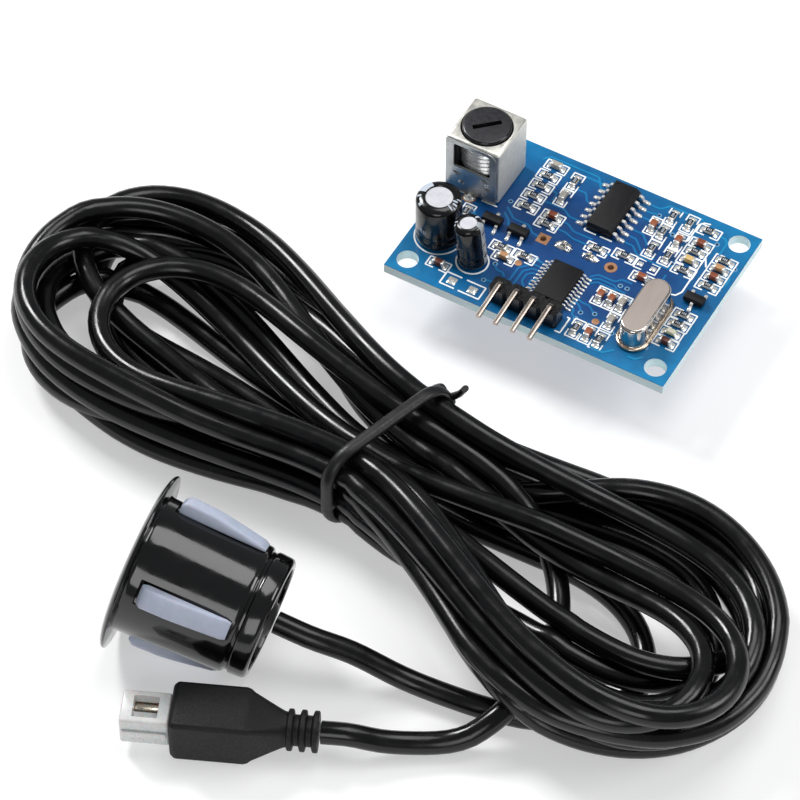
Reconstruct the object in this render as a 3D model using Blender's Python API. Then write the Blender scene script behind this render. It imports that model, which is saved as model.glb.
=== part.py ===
"""Ultrasonic ranging module: a driver board and its waterproof probe on a coiled lead.

Lengths are in millimetres and become metres as the meshes are made. The origin lies on the
surface that the module stands on, under the middle of the board. +X runs along the board's
long side, +Y away from its header pins and +Z up.
"""
from math import atan2, cos, pi, radians, sin, sqrt

import bmesh
import bpy
from mathutils import Matrix, Vector

MM = 0.001

# ---- board ----
BOARD_LENGTH = 42.0
BOARD_WIDTH = 29.0
BOARD_THICK = 1.6
SCREW_HOLE_R = 1.5
SCREW_INSET = 2.35
LEG_HOLE_R = 0.55
CORNER_FIELD = 6.0

# ---- socket under the board ----
SOCKET_WIDTH = 9.6
SOCKET_HEIGHT = 7.4
SOCKET_BACK_Y = -2.4
SOCKET_MOUTH_Y = 10.6
SOCKET_X = 0.4
MOUTH = 5.4
MOUTH_DEPTH = 8.2
CONTACT_PITCH = 2.4
CONTACT_REACH = 3.9
LEG_PITCH = 3.75
LEG_Y = 0.1
WIRE = 0.64

GAP = 0.1
BOARD_Z = SOCKET_HEIGHT + GAP
TOP_Z = BOARD_Z + BOARD_THICK

# ---- tuning coil ----
CAN_SIDE = 8.1
CAN_HEIGHT = 9.7
CAN_WALL = 0.3
CAN_AT = (4.2, 20.6)
CAN_HOLE_R = 3.6
WINDOW_WIDTH = 5.8
WINDOW_LOW = 4.4
WINDOW_HIGH = 9.0
CORE_R = 3.4
CORE_TOP = 10.1
CORE_LOW = 3.6
CORE_BORE_R = 2.85
CORE_ROOF = 8.3
CORE_EDGE = 0.45
COIL_BASE_HEIGHT = 1.5
POST_SIDE = 0.85
POST_INSET = 0.15
POST_TOP = 9.0
DRUM_R = 2.5
DRUM_CORE_R = 1.0
DRUM_TOP = 7.4
DRUM_FLANGE = 0.7
THREAD_PITCH = 0.75
THREAD_DEPTH = 0.25
SLOT_LENGTH = 4.0
SLOT_WIDTH = 0.7
SLOT_DEPTH = 0.9
SLOT_ANGLE = radians(43)

# ---- electrolytic capacitors: place on the board, radius, height and lean in degrees ----
LARGE_CAPACITOR = ((3.95, 8.0), 3.15, 8.0, 0)
SMALL_CAPACITOR = ((10.15, 6.3), 2.0, 7.6, -4)
BUNG_HEIGHT = 0.8
CRIMP_ABOVE = 1.0

# ---- header ----
PITCH = 2.54
PIN_COUNT = 4
HEADER_AT = (16.3, 2.65)
BLOCK_DEPTH = 2.5
BLOCK_NOTCH = 0.35
PIN_BEND = 0.45
PIN_RISE = 3.1
PIN_REACH = 6.2
PIN_DROOP = 0.5
PIN_TAIL = 1.2

# ---- moulded chips: place, then width, length and height, then lead pitch, width and reach ----
AMPLIFIER_AT = (22.45, 23.1)
AMPLIFIER = (3.9, 8.65, 1.5)
AMPLIFIER_LEADS = (7, 1.27, 0.42, 1.05)
CONTROLLER_AT = (22.0, 8.2)
CONTROLLER = (4.4, 6.5, 1.1)
CONTROLLER_LEADS = (10, 0.65, 0.25, 1.0)
SMALL_CHIP = (2.9, 1.35, 1.1)
SMALL_LEAD_SPREAD = 0.95
SMALL_LEAD_WIDTH = 0.4
SMALL_LEAD_REACH = 0.65
DRIVE_TRANSISTORS_AT = ((9.1, 13.6), (13.1, 13.5))
REGULATOR_AT = (39.0, 14.7)

# ---- crystal ----
CRYSTAL_AT = (34.9, 8.4)
CRYSTAL_LENGTH = 10.2
CRYSTAL_WIDTH = 3.8
CRYSTAL_TOP = 3.6
CRYSTAL_BASE_LENGTH = 11.2
CRYSTAL_BASE_WIDTH = 4.65
CRYSTAL_BASE_HEIGHT = 0.45

# ---- ceramic capacitors: centre on the board, and whether the long side runs along X ----
CHIP_LONG = 1.6
CHIP_SHORT = 0.8
CHIP_HIGH = 0.8
CAPACITORS_ALONG_X = ((11.9, 26.5), (15.7, 18.4), (13.4, 8.9), (6.4, 3.6), (35.3, 23.9),
                      (35.2, 20.6), (39.4, 21.2), (39.4, 19.55), (31.1, 14.8), (38.85, 6.65))
CAPACITORS_ALONG_Y = ((15.3, 22.2), (30.9, 9.55), (31.0, 6.2), (28.2, 23.7), (32.4, 22.9),
                      (27.75, 9.45), (29.35, 9.45), (29.4, 2.9))
LED_AT = (38.75, 8.45)
LED_HIGH = 0.6

# ---- probe ----
FLANGE_R = 11.75
BARREL_R = 9.0
BARREL_END_R = 8.5
TAIL_R = 8.15
PROBE_LENGTH = 18.8
RIM_Z = 1.1
PAD_COUNT = 4
PAD_WIDTH = 2.8
PAD_START = 3.2
PAD_END = 15.0
PAD_FIRST_ANGLE = radians(55)
PROBE_AT = (-23.1, -73.7)
PROBE_HEADING = radians(8.7)

# ---- lead ----
CABLE_D = 3.0
MEET_GAP = 0.3
LYING = 1.55
HANK_AT = (-5.4, -40.8)
HANK_HEADING = radians(-9.0)
HANK_HALF_LENGTH = 59.0
LOBE_HALF = 18.5
LOBE_HEIGHT = 7.0
WAIST_HALF = 9.2
WAIST_HEIGHT = 11.2
WAIST_RAISE = 1.9
TIE_WIRE_R = 0.7
TIE_LOW = 1.5
TIE_HIGH = 13.5

# ---- plug ----
PLUG_AT = (-15.2, -90.1)
PLUG_HEADING = radians(23.8)
NOSE_LENGTH = 6.2
NOSE_SIDE = 4.8
PLUG_MID_Z = 3.75
CONTACT_OFFSET = 1.2
RIB_COUNT = 3
RIB_PITCH = 1.6
RIB_START = 14.4


def clear_scene():
    for item in list(bpy.data.objects):
        bpy.data.objects.remove(item, do_unlink=True)


def material(name, colour, roughness, metallic=0.0):
    made = bpy.data.materials.new(name)
    made.use_nodes = True
    shader = made.node_tree.nodes["Principled BSDF"]
    shader.inputs["Base Color"].default_value = (*colour, 1.0)
    shader.inputs["Roughness"].default_value = roughness
    shader.inputs["Metallic"].default_value = metallic
    return made


def add_object(name, mesh, mat, parent=None):
    item = bpy.data.objects.new(name, mesh)
    bpy.context.scene.collection.objects.link(item)
    if mat:
        mesh.materials.append(mat)
    item.parent = parent
    return item


def object_from(name, bm, mat, parent=None, smooth=False):
    """Scale a bmesh drawn in millimetres to metres and make it an object."""
    bmesh.ops.scale(bm, vec=(MM, MM, MM), verts=bm.verts)
    bmesh.ops.recalc_face_normals(bm, faces=bm.faces)
    mesh = bpy.data.meshes.new(name)
    bm.to_mesh(mesh)
    bm.free()
    if smooth:
        mesh.shade_smooth()
        mesh.set_sharp_from_angle(angle=radians(35))
    return add_object(name, mesh, mat, parent)


def box_into(bm, low, high):
    size = [b - a for a, b in zip(low, high)]
    middle = [(a + b) / 2 for a, b in zip(low, high)]
    made = bmesh.ops.create_cube(bm, size=1.0)
    bmesh.ops.scale(bm, vec=size, verts=made["verts"])
    bmesh.ops.translate(bm, vec=middle, verts=made["verts"])
    return made["verts"]


def box(name, low, high, mat, bevel=0.0, parent=None):
    bm = bmesh.new()
    box_into(bm, low, high)
    if bevel:
        bmesh.ops.bevel(bm, geom=bm.edges[:], offset=bevel, segments=1, affect="EDGES")
    return object_from(name, bm, mat, parent)


def loft(name, rings, mat, parent=None, smooth=False):
    """Skin a list of rings, each with the same number of points, and cap both ends."""
    bm = bmesh.new()
    rows = [[bm.verts.new(point) for point in ring] for ring in rings]
    count = len(rows[0])
    for one, two in zip(rows, rows[1:]):
        for k in range(count):
            bm.faces.new((one[k], one[(k + 1) % count], two[(k + 1) % count], two[k]))
    bm.faces.new(rows[0][::-1])
    bm.faces.new(rows[-1])
    return object_from(name, bm, mat, parent, smooth)


def turned(name, profile, mat, sides=32, centre=(0, 0, 0), parent=None):
    """Turn a closed (radius, height) profile about Z; a profile on the axis closes at a point."""
    bm = bmesh.new()
    rows = []
    for radius, height in profile:
        if radius == 0:
            rows.append([bm.verts.new((centre[0], centre[1], centre[2] + height))])
            continue
        turn = [2 * pi * k / sides for k in range(sides)]
        rows.append([bm.verts.new((centre[0] + radius * cos(a), centre[1] + radius * sin(a),
                                   centre[2] + height)) for a in turn])
    closed = profile[0][0] != 0
    pairs = list(zip(rows, rows[1:] + rows[:1])) if closed else list(zip(rows, rows[1:]))
    for one, two in pairs:
        for k in range(sides):
            corners = [one[k % len(one)], one[(k + 1) % len(one)],
                       two[(k + 1) % len(two)], two[k % len(two)]]
            distinct = list(dict.fromkeys(corners))
            if len(distinct) > 2:
                bm.faces.new(distinct)
    return object_from(name, bm, mat, parent, smooth=True)


def prism(name, outline, low, high, mat, bevel=0.0):
    """Extrude a plan outline from one height to another."""
    bm = bmesh.new()
    base = bm.faces.new([bm.verts.new((x, y, low)) for x, y in outline])
    top = bmesh.ops.extrude_face_region(bm, geom=[base])["geom"]
    bmesh.ops.translate(bm, vec=(0, 0, high - low),
                        verts=[v for v in top if isinstance(v, bmesh.types.BMVert)])
    if bevel:
        rim = [e for e in bm.edges if all(abs(v.co.z - high) < 1e-6 for v in e.verts)]
        bmesh.ops.bevel(bm, geom=rim, offset=bevel, segments=2, affect="EDGES")
    return object_from(name, bm, mat)


def racetrack(centre, length, width, steps=10):
    """Outline with straight long sides along Y and half-round ends."""
    radius = width / 2
    run = length / 2 - radius
    ends = ((run, 0.0), (-run, pi))
    return [(centre[0] + radius * cos(start + pi * k / steps),
             centre[1] + shift + radius * sin(start + pi * k / steps))
            for shift, start in ends for k in range(steps + 1)]


def bar(name, path, side, mat):
    """Square wire swept along a bent path."""
    points = [Vector(p) for p in path]
    rings = []
    across = None
    for k, point in enumerate(points):
        before = (point - points[k - 1]).normalized() if k else (points[1] - point).normalized()
        after = (points[k + 1] - point).normalized() if k + 1 < len(points) else before
        tangent = (before + after).normalized()
        stretch = 1 / max(0.5, tangent.dot(before))
        if across is None:
            across = Vector((1, 0, 0)) if abs(tangent.x) < 0.9 else Vector((0, 1, 0))
        across = (across - across.dot(tangent) * tangent).normalized()
        up = tangent.cross(across)
        half = side / 2
        rings.append([point + across * half * a + up * half * stretch * b
                      for a, b in ((-1, -1), (1, -1), (1, 1), (-1, 1))])
    return loft(name, rings, mat)


def rounded_ring(half_y, low, high, corner, x, steps=2):
    """Rounded rectangle in the plane at x."""
    corner = min(corner, half_y - 0.01, (high - low) / 2 - 0.01)
    middles = ((half_y - corner, high - corner, 0), (corner - half_y, high - corner, 90),
               (corner - half_y, low + corner, 180), (half_y - corner, low + corner, 270))
    return [(x, cy + corner * cos(radians(start + 90 * k / steps)),
             cz + corner * sin(radians(start + 90 * k / steps)))
            for cy, cz, start in middles for k in range(steps + 1)]


def combine(target, other, operation):
    """Boolean with a guide object that the build leaves out."""
    other.hide_render = True
    other.display_type = "WIRE"
    modifier = target.modifiers.new(operation.lower(), "BOOLEAN")
    modifier.operation = operation
    modifier.solver = "EXACT"
    modifier.object = other


def frame_at(name, location, matrix):
    """Empty that carries a group of pieces."""
    item = bpy.data.objects.new(name, None)
    bpy.context.scene.collection.objects.link(item)
    item.matrix_world = Matrix.Translation(Vector(location) * MM) @ matrix.to_4x4()
    return item


def on_board(x, y):
    """Board coordinates, from its front left corner, to the model's."""
    return x - BOARD_LENGTH / 2, y - BOARD_WIDTH / 2


def smooth_route(points, spacing):
    """Points an even distance apart along a Catmull-Rom curve through the route."""
    knots = [Vector(p) for p in points]
    knots = [2 * knots[0] - knots[1]] + knots + [2 * knots[-1] - knots[-2]]
    fine = []
    for a, b, c, d in zip(knots, knots[1:], knots[2:], knots[3:]):
        for k in range(24):
            t = k / 24
            fine.append(0.5 * (2 * b + (c - a) * t + (2 * a - 5 * b + 4 * c - d) * t ** 2
                               + (3 * b - a - 3 * c + d) * t ** 3))
    fine.append(knots[-2])
    total = sum((q - p).length for p, q in zip(fine, fine[1:]))
    count = max(3, round(total / spacing))
    route = [fine[0]]
    walked = 0.0
    for p, q in zip(fine, fine[1:]):
        walked += (q - p).length
        if walked >= total * len(route) / count and len(route) < count:
            route.append(q)
    return route + [fine[-1]]


def tube(name, points, diameter, mat):
    """Plain round cable along a route."""
    curve = bpy.data.curves.new(name, "CURVE")
    curve.dimensions = "3D"
    curve.bevel_depth = diameter / 2 * MM
    curve.bevel_resolution = 2
    curve.use_fill_caps = True
    route = smooth_route(points, 2.2 * diameter)
    spline = curve.splines.new("POLY")
    spline.points.add(len(route) - 1)
    for knot, point in zip(spline.points, route):
        knot.co = (*(point * MM), 1.0)
    return add_object(name, curve, mat)


def make_board(mats):
    """Plate with its holes; the corner fields, where stand-offs bear, are faces of their own."""
    corner = on_board(0, 0)
    plate = bmesh.new()
    box_into(plate, (*corner, BOARD_Z), (corner[0] + BOARD_LENGTH, corner[1] + BOARD_WIDTH, TOP_Z))
    for axis, half in ((0, BOARD_LENGTH / 2), (1, BOARD_WIDTH / 2)):
        for side in (-1, 1):
            normal = [float(k == axis) for k in range(3)]
            at = [n * side * (half - CORNER_FIELD) for n in normal]
            bmesh.ops.bisect_plane(plate, geom=plate.verts[:] + plate.edges[:] + plate.faces[:],
                                   plane_co=at, plane_no=normal)
    board = object_from("circuit_board", plate, mats["board"])
    cutter = bmesh.new()
    holes = [(*on_board(x, y), SCREW_HOLE_R) for x in (SCREW_INSET, BOARD_LENGTH - SCREW_INSET)
             for y in (SCREW_INSET, BOARD_WIDTH - SCREW_INSET)]
    holes += [(*on_board(HEADER_AT[0] + k * PITCH, HEADER_AT[1]), LEG_HOLE_R)
              for k in range(PIN_COUNT)]
    holes += [(SOCKET_X + side * LEG_PITCH / 2, LEG_Y, LEG_HOLE_R) for side in (-1, 1)]
    for x, y, radius in holes:
        bmesh.ops.create_cone(cutter, cap_ends=True, segments=20 if radius > 1 else 8,
                              radius1=radius, radius2=radius, depth=4.0,
                              matrix=Matrix.Translation((x, y, BOARD_Z + BOARD_THICK / 2)))
    combine(board, object_from("board_holes", cutter, None), "DIFFERENCE")


def make_coil(mats):
    x, y = on_board(*CAN_AT)
    half = CAN_SIDE / 2
    low = TOP_Z + GAP
    can = box("shield_can", (x - half, y - half, low),
              (x + half, y + half, low + CAN_HEIGHT), mats["tin"], bevel=0.25)
    hollow = bmesh.new()
    inner = half - CAN_WALL
    box_into(hollow, (x - inner, y - inner, low - 1),
             (x + inner, y + inner, low + CAN_HEIGHT - CAN_WALL))
    combine(can, object_from("can_hollow", hollow, None), "DIFFERENCE")
    hole = bmesh.new()
    bmesh.ops.create_cone(hole, cap_ends=True, segments=36, radius1=CAN_HOLE_R, radius2=CAN_HOLE_R,
                          depth=2.0, matrix=Matrix.Translation((x, y, low + CAN_HEIGHT)))
    combine(can, object_from("can_hole", hole, None), "DIFFERENCE")
    window = bmesh.new()
    box_into(window, (x - WINDOW_WIDTH / 2, y - half - 1, low + WINDOW_LOW),
             (x + WINDOW_WIDTH / 2, y - half + 1, low + WINDOW_HIGH))
    combine(can, object_from("can_window", window, None), "DIFFERENCE")

    side = inner - GAP
    base = box("coil_base", (x - side, y - side, low),
               (x + side, y + side, low + COIL_BASE_HEIGHT), mats["former"])
    posts = bmesh.new()
    middle = side - POST_INSET - POST_SIDE / 2
    for post_x in (x - middle, x + middle):
        for post_y in (y - middle, y + middle):
            box_into(posts, (post_x - POST_SIDE / 2, post_y - POST_SIDE / 2, low + COIL_BASE_HEIGHT / 2),
                     (post_x + POST_SIDE / 2, post_y + POST_SIDE / 2, low + POST_TOP))
    combine(base, object_from("coil_posts", posts, None), "UNION")

    drum_low = COIL_BASE_HEIGHT + GAP
    under = DRUM_TOP - DRUM_FLANGE
    over = drum_low + DRUM_FLANGE
    drum = ((0, DRUM_TOP), (DRUM_R, DRUM_TOP), (DRUM_R, under), (DRUM_CORE_R, under),
            (DRUM_CORE_R, over), (DRUM_R, over), (DRUM_R, drum_low), (0, drum_low))
    turned("coil_drum", drum, mats["ferrite"], sides=20, centre=(x, y, low))
    inside = DRUM_CORE_R + GAP
    winding = ((inside, under - GAP), (DRUM_R - GAP, under - GAP), (DRUM_R - GAP, over + GAP),
               (inside, over + GAP))
    turned("coil_winding", winding, mats["copper"], sides=20, centre=(x, y, low))

    outer = [(0, CORE_TOP), (CORE_R - CORE_EDGE, CORE_TOP),
             (CORE_R - CORE_EDGE / 3, CORE_TOP - CORE_EDGE / 4), (CORE_R, CORE_TOP - CORE_EDGE),
             (CORE_R, WINDOW_HIGH)]
    turns = int((WINDOW_HIGH - CORE_LOW) / THREAD_PITCH)
    for k in range(turns):
        crest = WINDOW_HIGH - k * THREAD_PITCH
        outer += [(CORE_R - THREAD_DEPTH, crest - THREAD_PITCH * 0.4),
                  (CORE_R, crest - THREAD_PITCH * 0.8)]
    outer += [(CORE_R, CORE_LOW), (CORE_BORE_R, CORE_LOW), (CORE_BORE_R, CORE_ROOF), (0, CORE_ROOF)]
    core = turned("tuning_core", outer, mats["core"])
    core.location = Vector((x, y, low)) * MM
    core.rotation_euler.z = SLOT_ANGLE
    slot = box("core_slot", (-SLOT_LENGTH / 2, -SLOT_WIDTH / 2, CORE_TOP - SLOT_DEPTH),
               (SLOT_LENGTH / 2, SLOT_WIDTH / 2, CORE_TOP + 1), None, parent=core)
    combine(core, slot, "DIFFERENCE")


def make_electrolytic(name, at, radius, height, lean, mats):
    """Sleeved can with its crimp groove, on its rubber bung."""
    x, y = on_board(*at)
    stand = frame_at(name + "_frame", (x, y, TOP_Z + GAP), Matrix.Rotation(radians(lean), 3, "Y"))
    bung_r = radius - 0.5
    turned(name + "_bung", ((0, BUNG_HEIGHT), (bung_r, BUNG_HEIGHT), (bung_r, 2 * GAP), (0, 2 * GAP)),
           mats["rubber"], sides=20, parent=stand)
    low = BUNG_HEIGHT + GAP
    crimp = low + CRIMP_ABOVE
    profile = ((0, height - 0.15), (radius * 0.62, height - 0.15), (radius * 0.66, height),
               (radius - 0.25, height), (radius, height - 0.3), (radius, crimp + 0.5),
               (radius - 0.25, crimp + 0.2), (radius, crimp - 0.1), (radius, low + 0.15),
               (radius - 0.15, low), (0, low))
    turned(name + "_can", profile, mats["sleeve"], sides=28, parent=stand)


def make_header(mats):
    x, y = on_board(*HEADER_AT)
    low = TOP_Z + GAP
    half = BLOCK_DEPTH / 2
    outline = []
    for k in range(PIN_COUNT):
        left = x + (k - 0.5) * PITCH
        outline += [(left, y - half + BLOCK_NOTCH), (left + BLOCK_NOTCH, y - half),
                    (left + PITCH - BLOCK_NOTCH, y - half)]
    outline.append((x + (PIN_COUNT - 0.5) * PITCH, y - half + BLOCK_NOTCH))
    back = [(px, 2 * y - py) for px, py in reversed(outline)]
    block = prism("header_block", outline + back, low, low + PITCH, mats["block"])
    holes = bmesh.new()
    reach = WIRE / 2 + GAP
    for k in range(PIN_COUNT):
        box_into(holes, (x + k * PITCH - reach, y - reach, low - 1),
                 (x + k * PITCH + reach, y + reach, low + PITCH + 1))
    combine(block, object_from("header_holes", holes, None), "DIFFERENCE")
    for k in range(PIN_COUNT):
        px = x + k * PITCH
        path = ((px, y, BOARD_Z - PIN_TAIL), (px, y, low + PIN_RISE - PIN_BEND),
                (px, y - PIN_BEND / 3, low + PIN_RISE - PIN_BEND / 3),
                (px, y - PIN_BEND, low + PIN_RISE),
                (px, y - PIN_REACH, low + PIN_RISE - PIN_DROOP))
        bar(f"header_pin_{k + 1}", path, WIRE, mats["pin"])


def gull_wing(bm, at, inward, width, reach, rise):
    """One lead, from inside the body out and down to its foot on the board."""
    thick = 0.2 if rise > 0.6 else 0.15
    side = [(0.3, rise), (-reach * 0.45, rise), (-reach * 0.62, thick), (-reach, thick),
            (-reach, 0), (-reach * 0.48, 0), (-reach * 0.3, rise - thick), (0.3, rise - thick)]
    across = Vector((-inward[1], inward[0], 0)) * width / 2
    base = [Vector((at[0] + inward[0] * u, at[1] + inward[1] * u, at[2] + v)) for u, v in side]
    rows = [[bm.verts.new(p + across * s) for p in base] for s in (-1, 1)]
    bm.faces.new(rows[0][::-1])
    bm.faces.new(rows[1])
    count = len(base)
    for k in range(count):
        bm.faces.new((rows[0][k], rows[0][(k + 1) % count], rows[1][(k + 1) % count], rows[1][k]))


def make_chip(name, at, size, leads, width, reach, mats):
    """Moulded package; leads is a list of (x, y, inward direction) at the body's sides."""
    x, y = on_board(*at)
    low = TOP_Z + GAP
    stand_off = 0.1
    body = box(name, (x - size[0] / 2, y - size[1] / 2, low + stand_off),
               (x + size[0] / 2, y + size[1] / 2, low + size[2]), mats["epoxy"], bevel=0.12)
    legs = bmesh.new()
    rise = size[2] * 0.55
    for lx, ly, inward in leads:
        gull_wing(legs, (x + lx, y + ly, low), inward, width, reach, rise)
    combine(body, object_from(name + "_legs", legs, None), "UNION")


def two_rows(size, count, pitch):
    """Lead places down both long sides of a package."""
    return [(side * size[0] / 2, (k - (count - 1) / 2) * pitch, (-side, 0))
            for side in (-1, 1) for k in range(count)]


def three_legs(size, single):
    """Lead places of a three-legged package; single is the side with one leg, -1 or 1."""
    pair = [(dx, -single * size[1] / 2, (0, single)) for dx in (-SMALL_LEAD_SPREAD, SMALL_LEAD_SPREAD)]
    return pair + [(0, single * size[1] / 2, (0, -single))]


def make_chips(mats):
    for name, at, size, leads in (("amplifier_chip", AMPLIFIER_AT, AMPLIFIER, AMPLIFIER_LEADS),
                                  ("controller_chip", CONTROLLER_AT, CONTROLLER, CONTROLLER_LEADS)):
        count, pitch, width, reach = leads
        make_chip(name, at, size, two_rows(size, count, pitch), width, reach, mats)
    places = [(f"drive_transistor_{k + 1}", at, 1) for k, at in enumerate(DRIVE_TRANSISTORS_AT)]
    places.append(("voltage_regulator", REGULATOR_AT, -1))
    for name, at, single in places:
        make_chip(name, at, SMALL_CHIP, three_legs(SMALL_CHIP, single), SMALL_LEAD_WIDTH,
                  SMALL_LEAD_REACH, mats)


def make_crystal(mats):
    at = on_board(*CRYSTAL_AT)
    low = TOP_Z + GAP
    seam = low + CRYSTAL_BASE_HEIGHT
    prism("crystal_base", racetrack(at, CRYSTAL_BASE_LENGTH, CRYSTAL_BASE_WIDTH), low, seam, mats["steel"])
    prism("crystal_cover", racetrack(at, CRYSTAL_LENGTH, CRYSTAL_WIDTH), seam + GAP, low + CRYSTAL_TOP,
          mats["steel"], bevel=0.35)


def make_chip_parts(mats):
    low = TOP_Z + GAP
    halves = [(at, CHIP_LONG / 2, CHIP_SHORT / 2) for at in CAPACITORS_ALONG_X]
    halves += [(at, CHIP_SHORT / 2, CHIP_LONG / 2) for at in CAPACITORS_ALONG_Y]
    for k, (at, half_x, half_y) in enumerate(halves):
        x, y = on_board(*at)
        box(f"ceramic_capacitor_{k + 1:02d}", (x - half_x, y - half_y, low),
            (x + half_x, y + half_y, low + CHIP_HIGH), mats["ceramic"])
    x, y = on_board(*LED_AT)
    box("status_led", (x - CHIP_LONG / 2, y - CHIP_SHORT / 2, low),
        (x + CHIP_LONG / 2, y + CHIP_SHORT / 2, low + LED_HIGH), mats["led"])


def make_socket(mats):
    half = SOCKET_WIDTH / 2
    housing = box("socket_housing", (SOCKET_X - half, SOCKET_BACK_Y, 0),
                  (SOCKET_X + half, SOCKET_MOUTH_Y, SOCKET_HEIGHT), mats["nylon"])
    mouth = bmesh.new()
    middle = SOCKET_HEIGHT / 2
    inner_y = SOCKET_MOUTH_Y - MOUTH_DEPTH
    box_into(mouth, (SOCKET_X - MOUTH / 2, inner_y, middle - MOUTH / 2),
             (SOCKET_X + MOUTH / 2, SOCKET_MOUTH_Y + 1, middle + MOUTH / 2))
    combine(housing, object_from("socket_mouth_cut", mouth, None), "DIFFERENCE")
    level = bmesh.new()
    upright = bmesh.new()
    room = WIRE / 2 + 0.15
    for side in (-1, 1):
        near = SOCKET_X + side * (CONTACT_PITCH / 2 - room)
        far = SOCKET_X + side * (LEG_PITCH / 2 + room)
        box_into(level, (min(near, far), LEG_Y - room, middle - room),
                 (max(near, far), inner_y + 0.5, middle + room))
        box_into(upright, (min(near, far) + 0.05, LEG_Y - room + 0.02, middle),
                 (max(near, far) - 0.05, LEG_Y + room, SOCKET_HEIGHT + 1))
    combine(housing, object_from("socket_level_slots", level, None), "DIFFERENCE")
    combine(housing, object_from("socket_upright_slots", upright, None), "DIFFERENCE")
    for k, side in enumerate((-1, 1)):
        near = SOCKET_X + side * CONTACT_PITCH / 2
        far = SOCKET_X + side * LEG_PITCH / 2
        path = ((near, inner_y + CONTACT_REACH, middle), (near, LEG_Y + 1.6, middle),
                (far, LEG_Y + 0.6, middle),
                (far, LEG_Y + 0.2, middle + 0.06), (far, LEG_Y + 0.02, middle + 0.4),
                (far, LEG_Y, TOP_Z + 0.9))
        bar(f"socket_contact_{k + 1}", path, WIRE, mats["pin"])


def probe_pose():
    """Pitch and centre height of the probe as it lies on its flange rim and its tail."""
    pitch = atan2(FLANGE_R - TAIL_R, PROBE_LENGTH - 0.5 - RIM_Z)
    height = FLANGE_R * cos(pitch) + RIM_Z * sin(pitch)
    along = Vector((cos(PROBE_HEADING) * cos(pitch), sin(PROBE_HEADING) * cos(pitch), -sin(pitch)))
    side = Vector((sin(PROBE_HEADING), -cos(PROBE_HEADING), 0))
    up = side.cross(along)
    matrix = Matrix((up, side, along)).transposed()
    return Vector((*PROBE_AT, height)), along, matrix


def make_probe(mats):
    centre, along, matrix = probe_pose()
    stand = frame_at("probe_frame", centre, matrix)
    groove = PAD_END + 0.8
    shell = ((7.95, 0.15), (9.2, 0.0), (11.3, 0.45), (FLANGE_R, 0.85), (FLANGE_R, RIM_Z), (9.7, RIM_Z),
             (BARREL_R + 0.1, 1.9), (BARREL_R, 2.4), (BARREL_END_R, PAD_END + 0.6),
             (TAIL_R - 0.15, groove), (TAIL_R - 0.15, groove + 0.5), (TAIL_R + 0.1, groove + 0.7),
             (TAIL_R, PROBE_LENGTH - 0.5), (TAIL_R - 0.5, PROBE_LENGTH), (6.9, PROBE_LENGTH),
             (6.9, 8.4), (7.95, 8.0))
    turned("probe_housing", shell, mats["gloss_black"], sides=48, parent=stand)
    cup = ((0, 0.1), (7.2, 0.1), (7.8, 0.5), (7.8, 7.8), (7.0, 7.8), (7.0, 1.0), (0, 1.0))
    turned("probe_diaphragm", cup, mats["aluminium"], sides=32, parent=stand)
    disc = ((0, 1.1), (4.6, 1.1), (4.6, 1.6), (0, 1.6))
    turned("probe_piezo", disc, mats["piezo"], sides=24, parent=stand)
    fill = PROBE_LENGTH - 0.6
    gland = PROBE_LENGTH + 0.4
    potting = ((0, 8.6), (6.7, 8.6), (6.7, fill), (2.6, fill), (2.2, gland), (0, gland))
    turned("probe_potting", potting, mats["rubber"], sides=24, parent=stand)
    for k in range(PAD_COUNT):
        half = PAD_WIDTH / 2
        side = ((BARREL_R + 0.1, PAD_START), (10.4, PAD_START + 0.3), (10.2, 8.5),
                (9.7, 12.5), (9.0, PAD_END), (BARREL_END_R + 0.2, PAD_END))
        rings = [[(r, s * half, z) for r, z in side] for s in (-1, 1)]
        pad = loft(f"probe_pad_{k + 1}", rings, mats["pad"], parent=stand)
        pad.rotation_euler.z = PAD_FIRST_ANGLE + 2 * pi * k / PAD_COUNT
    return centre + along * (gland + MEET_GAP), along


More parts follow.
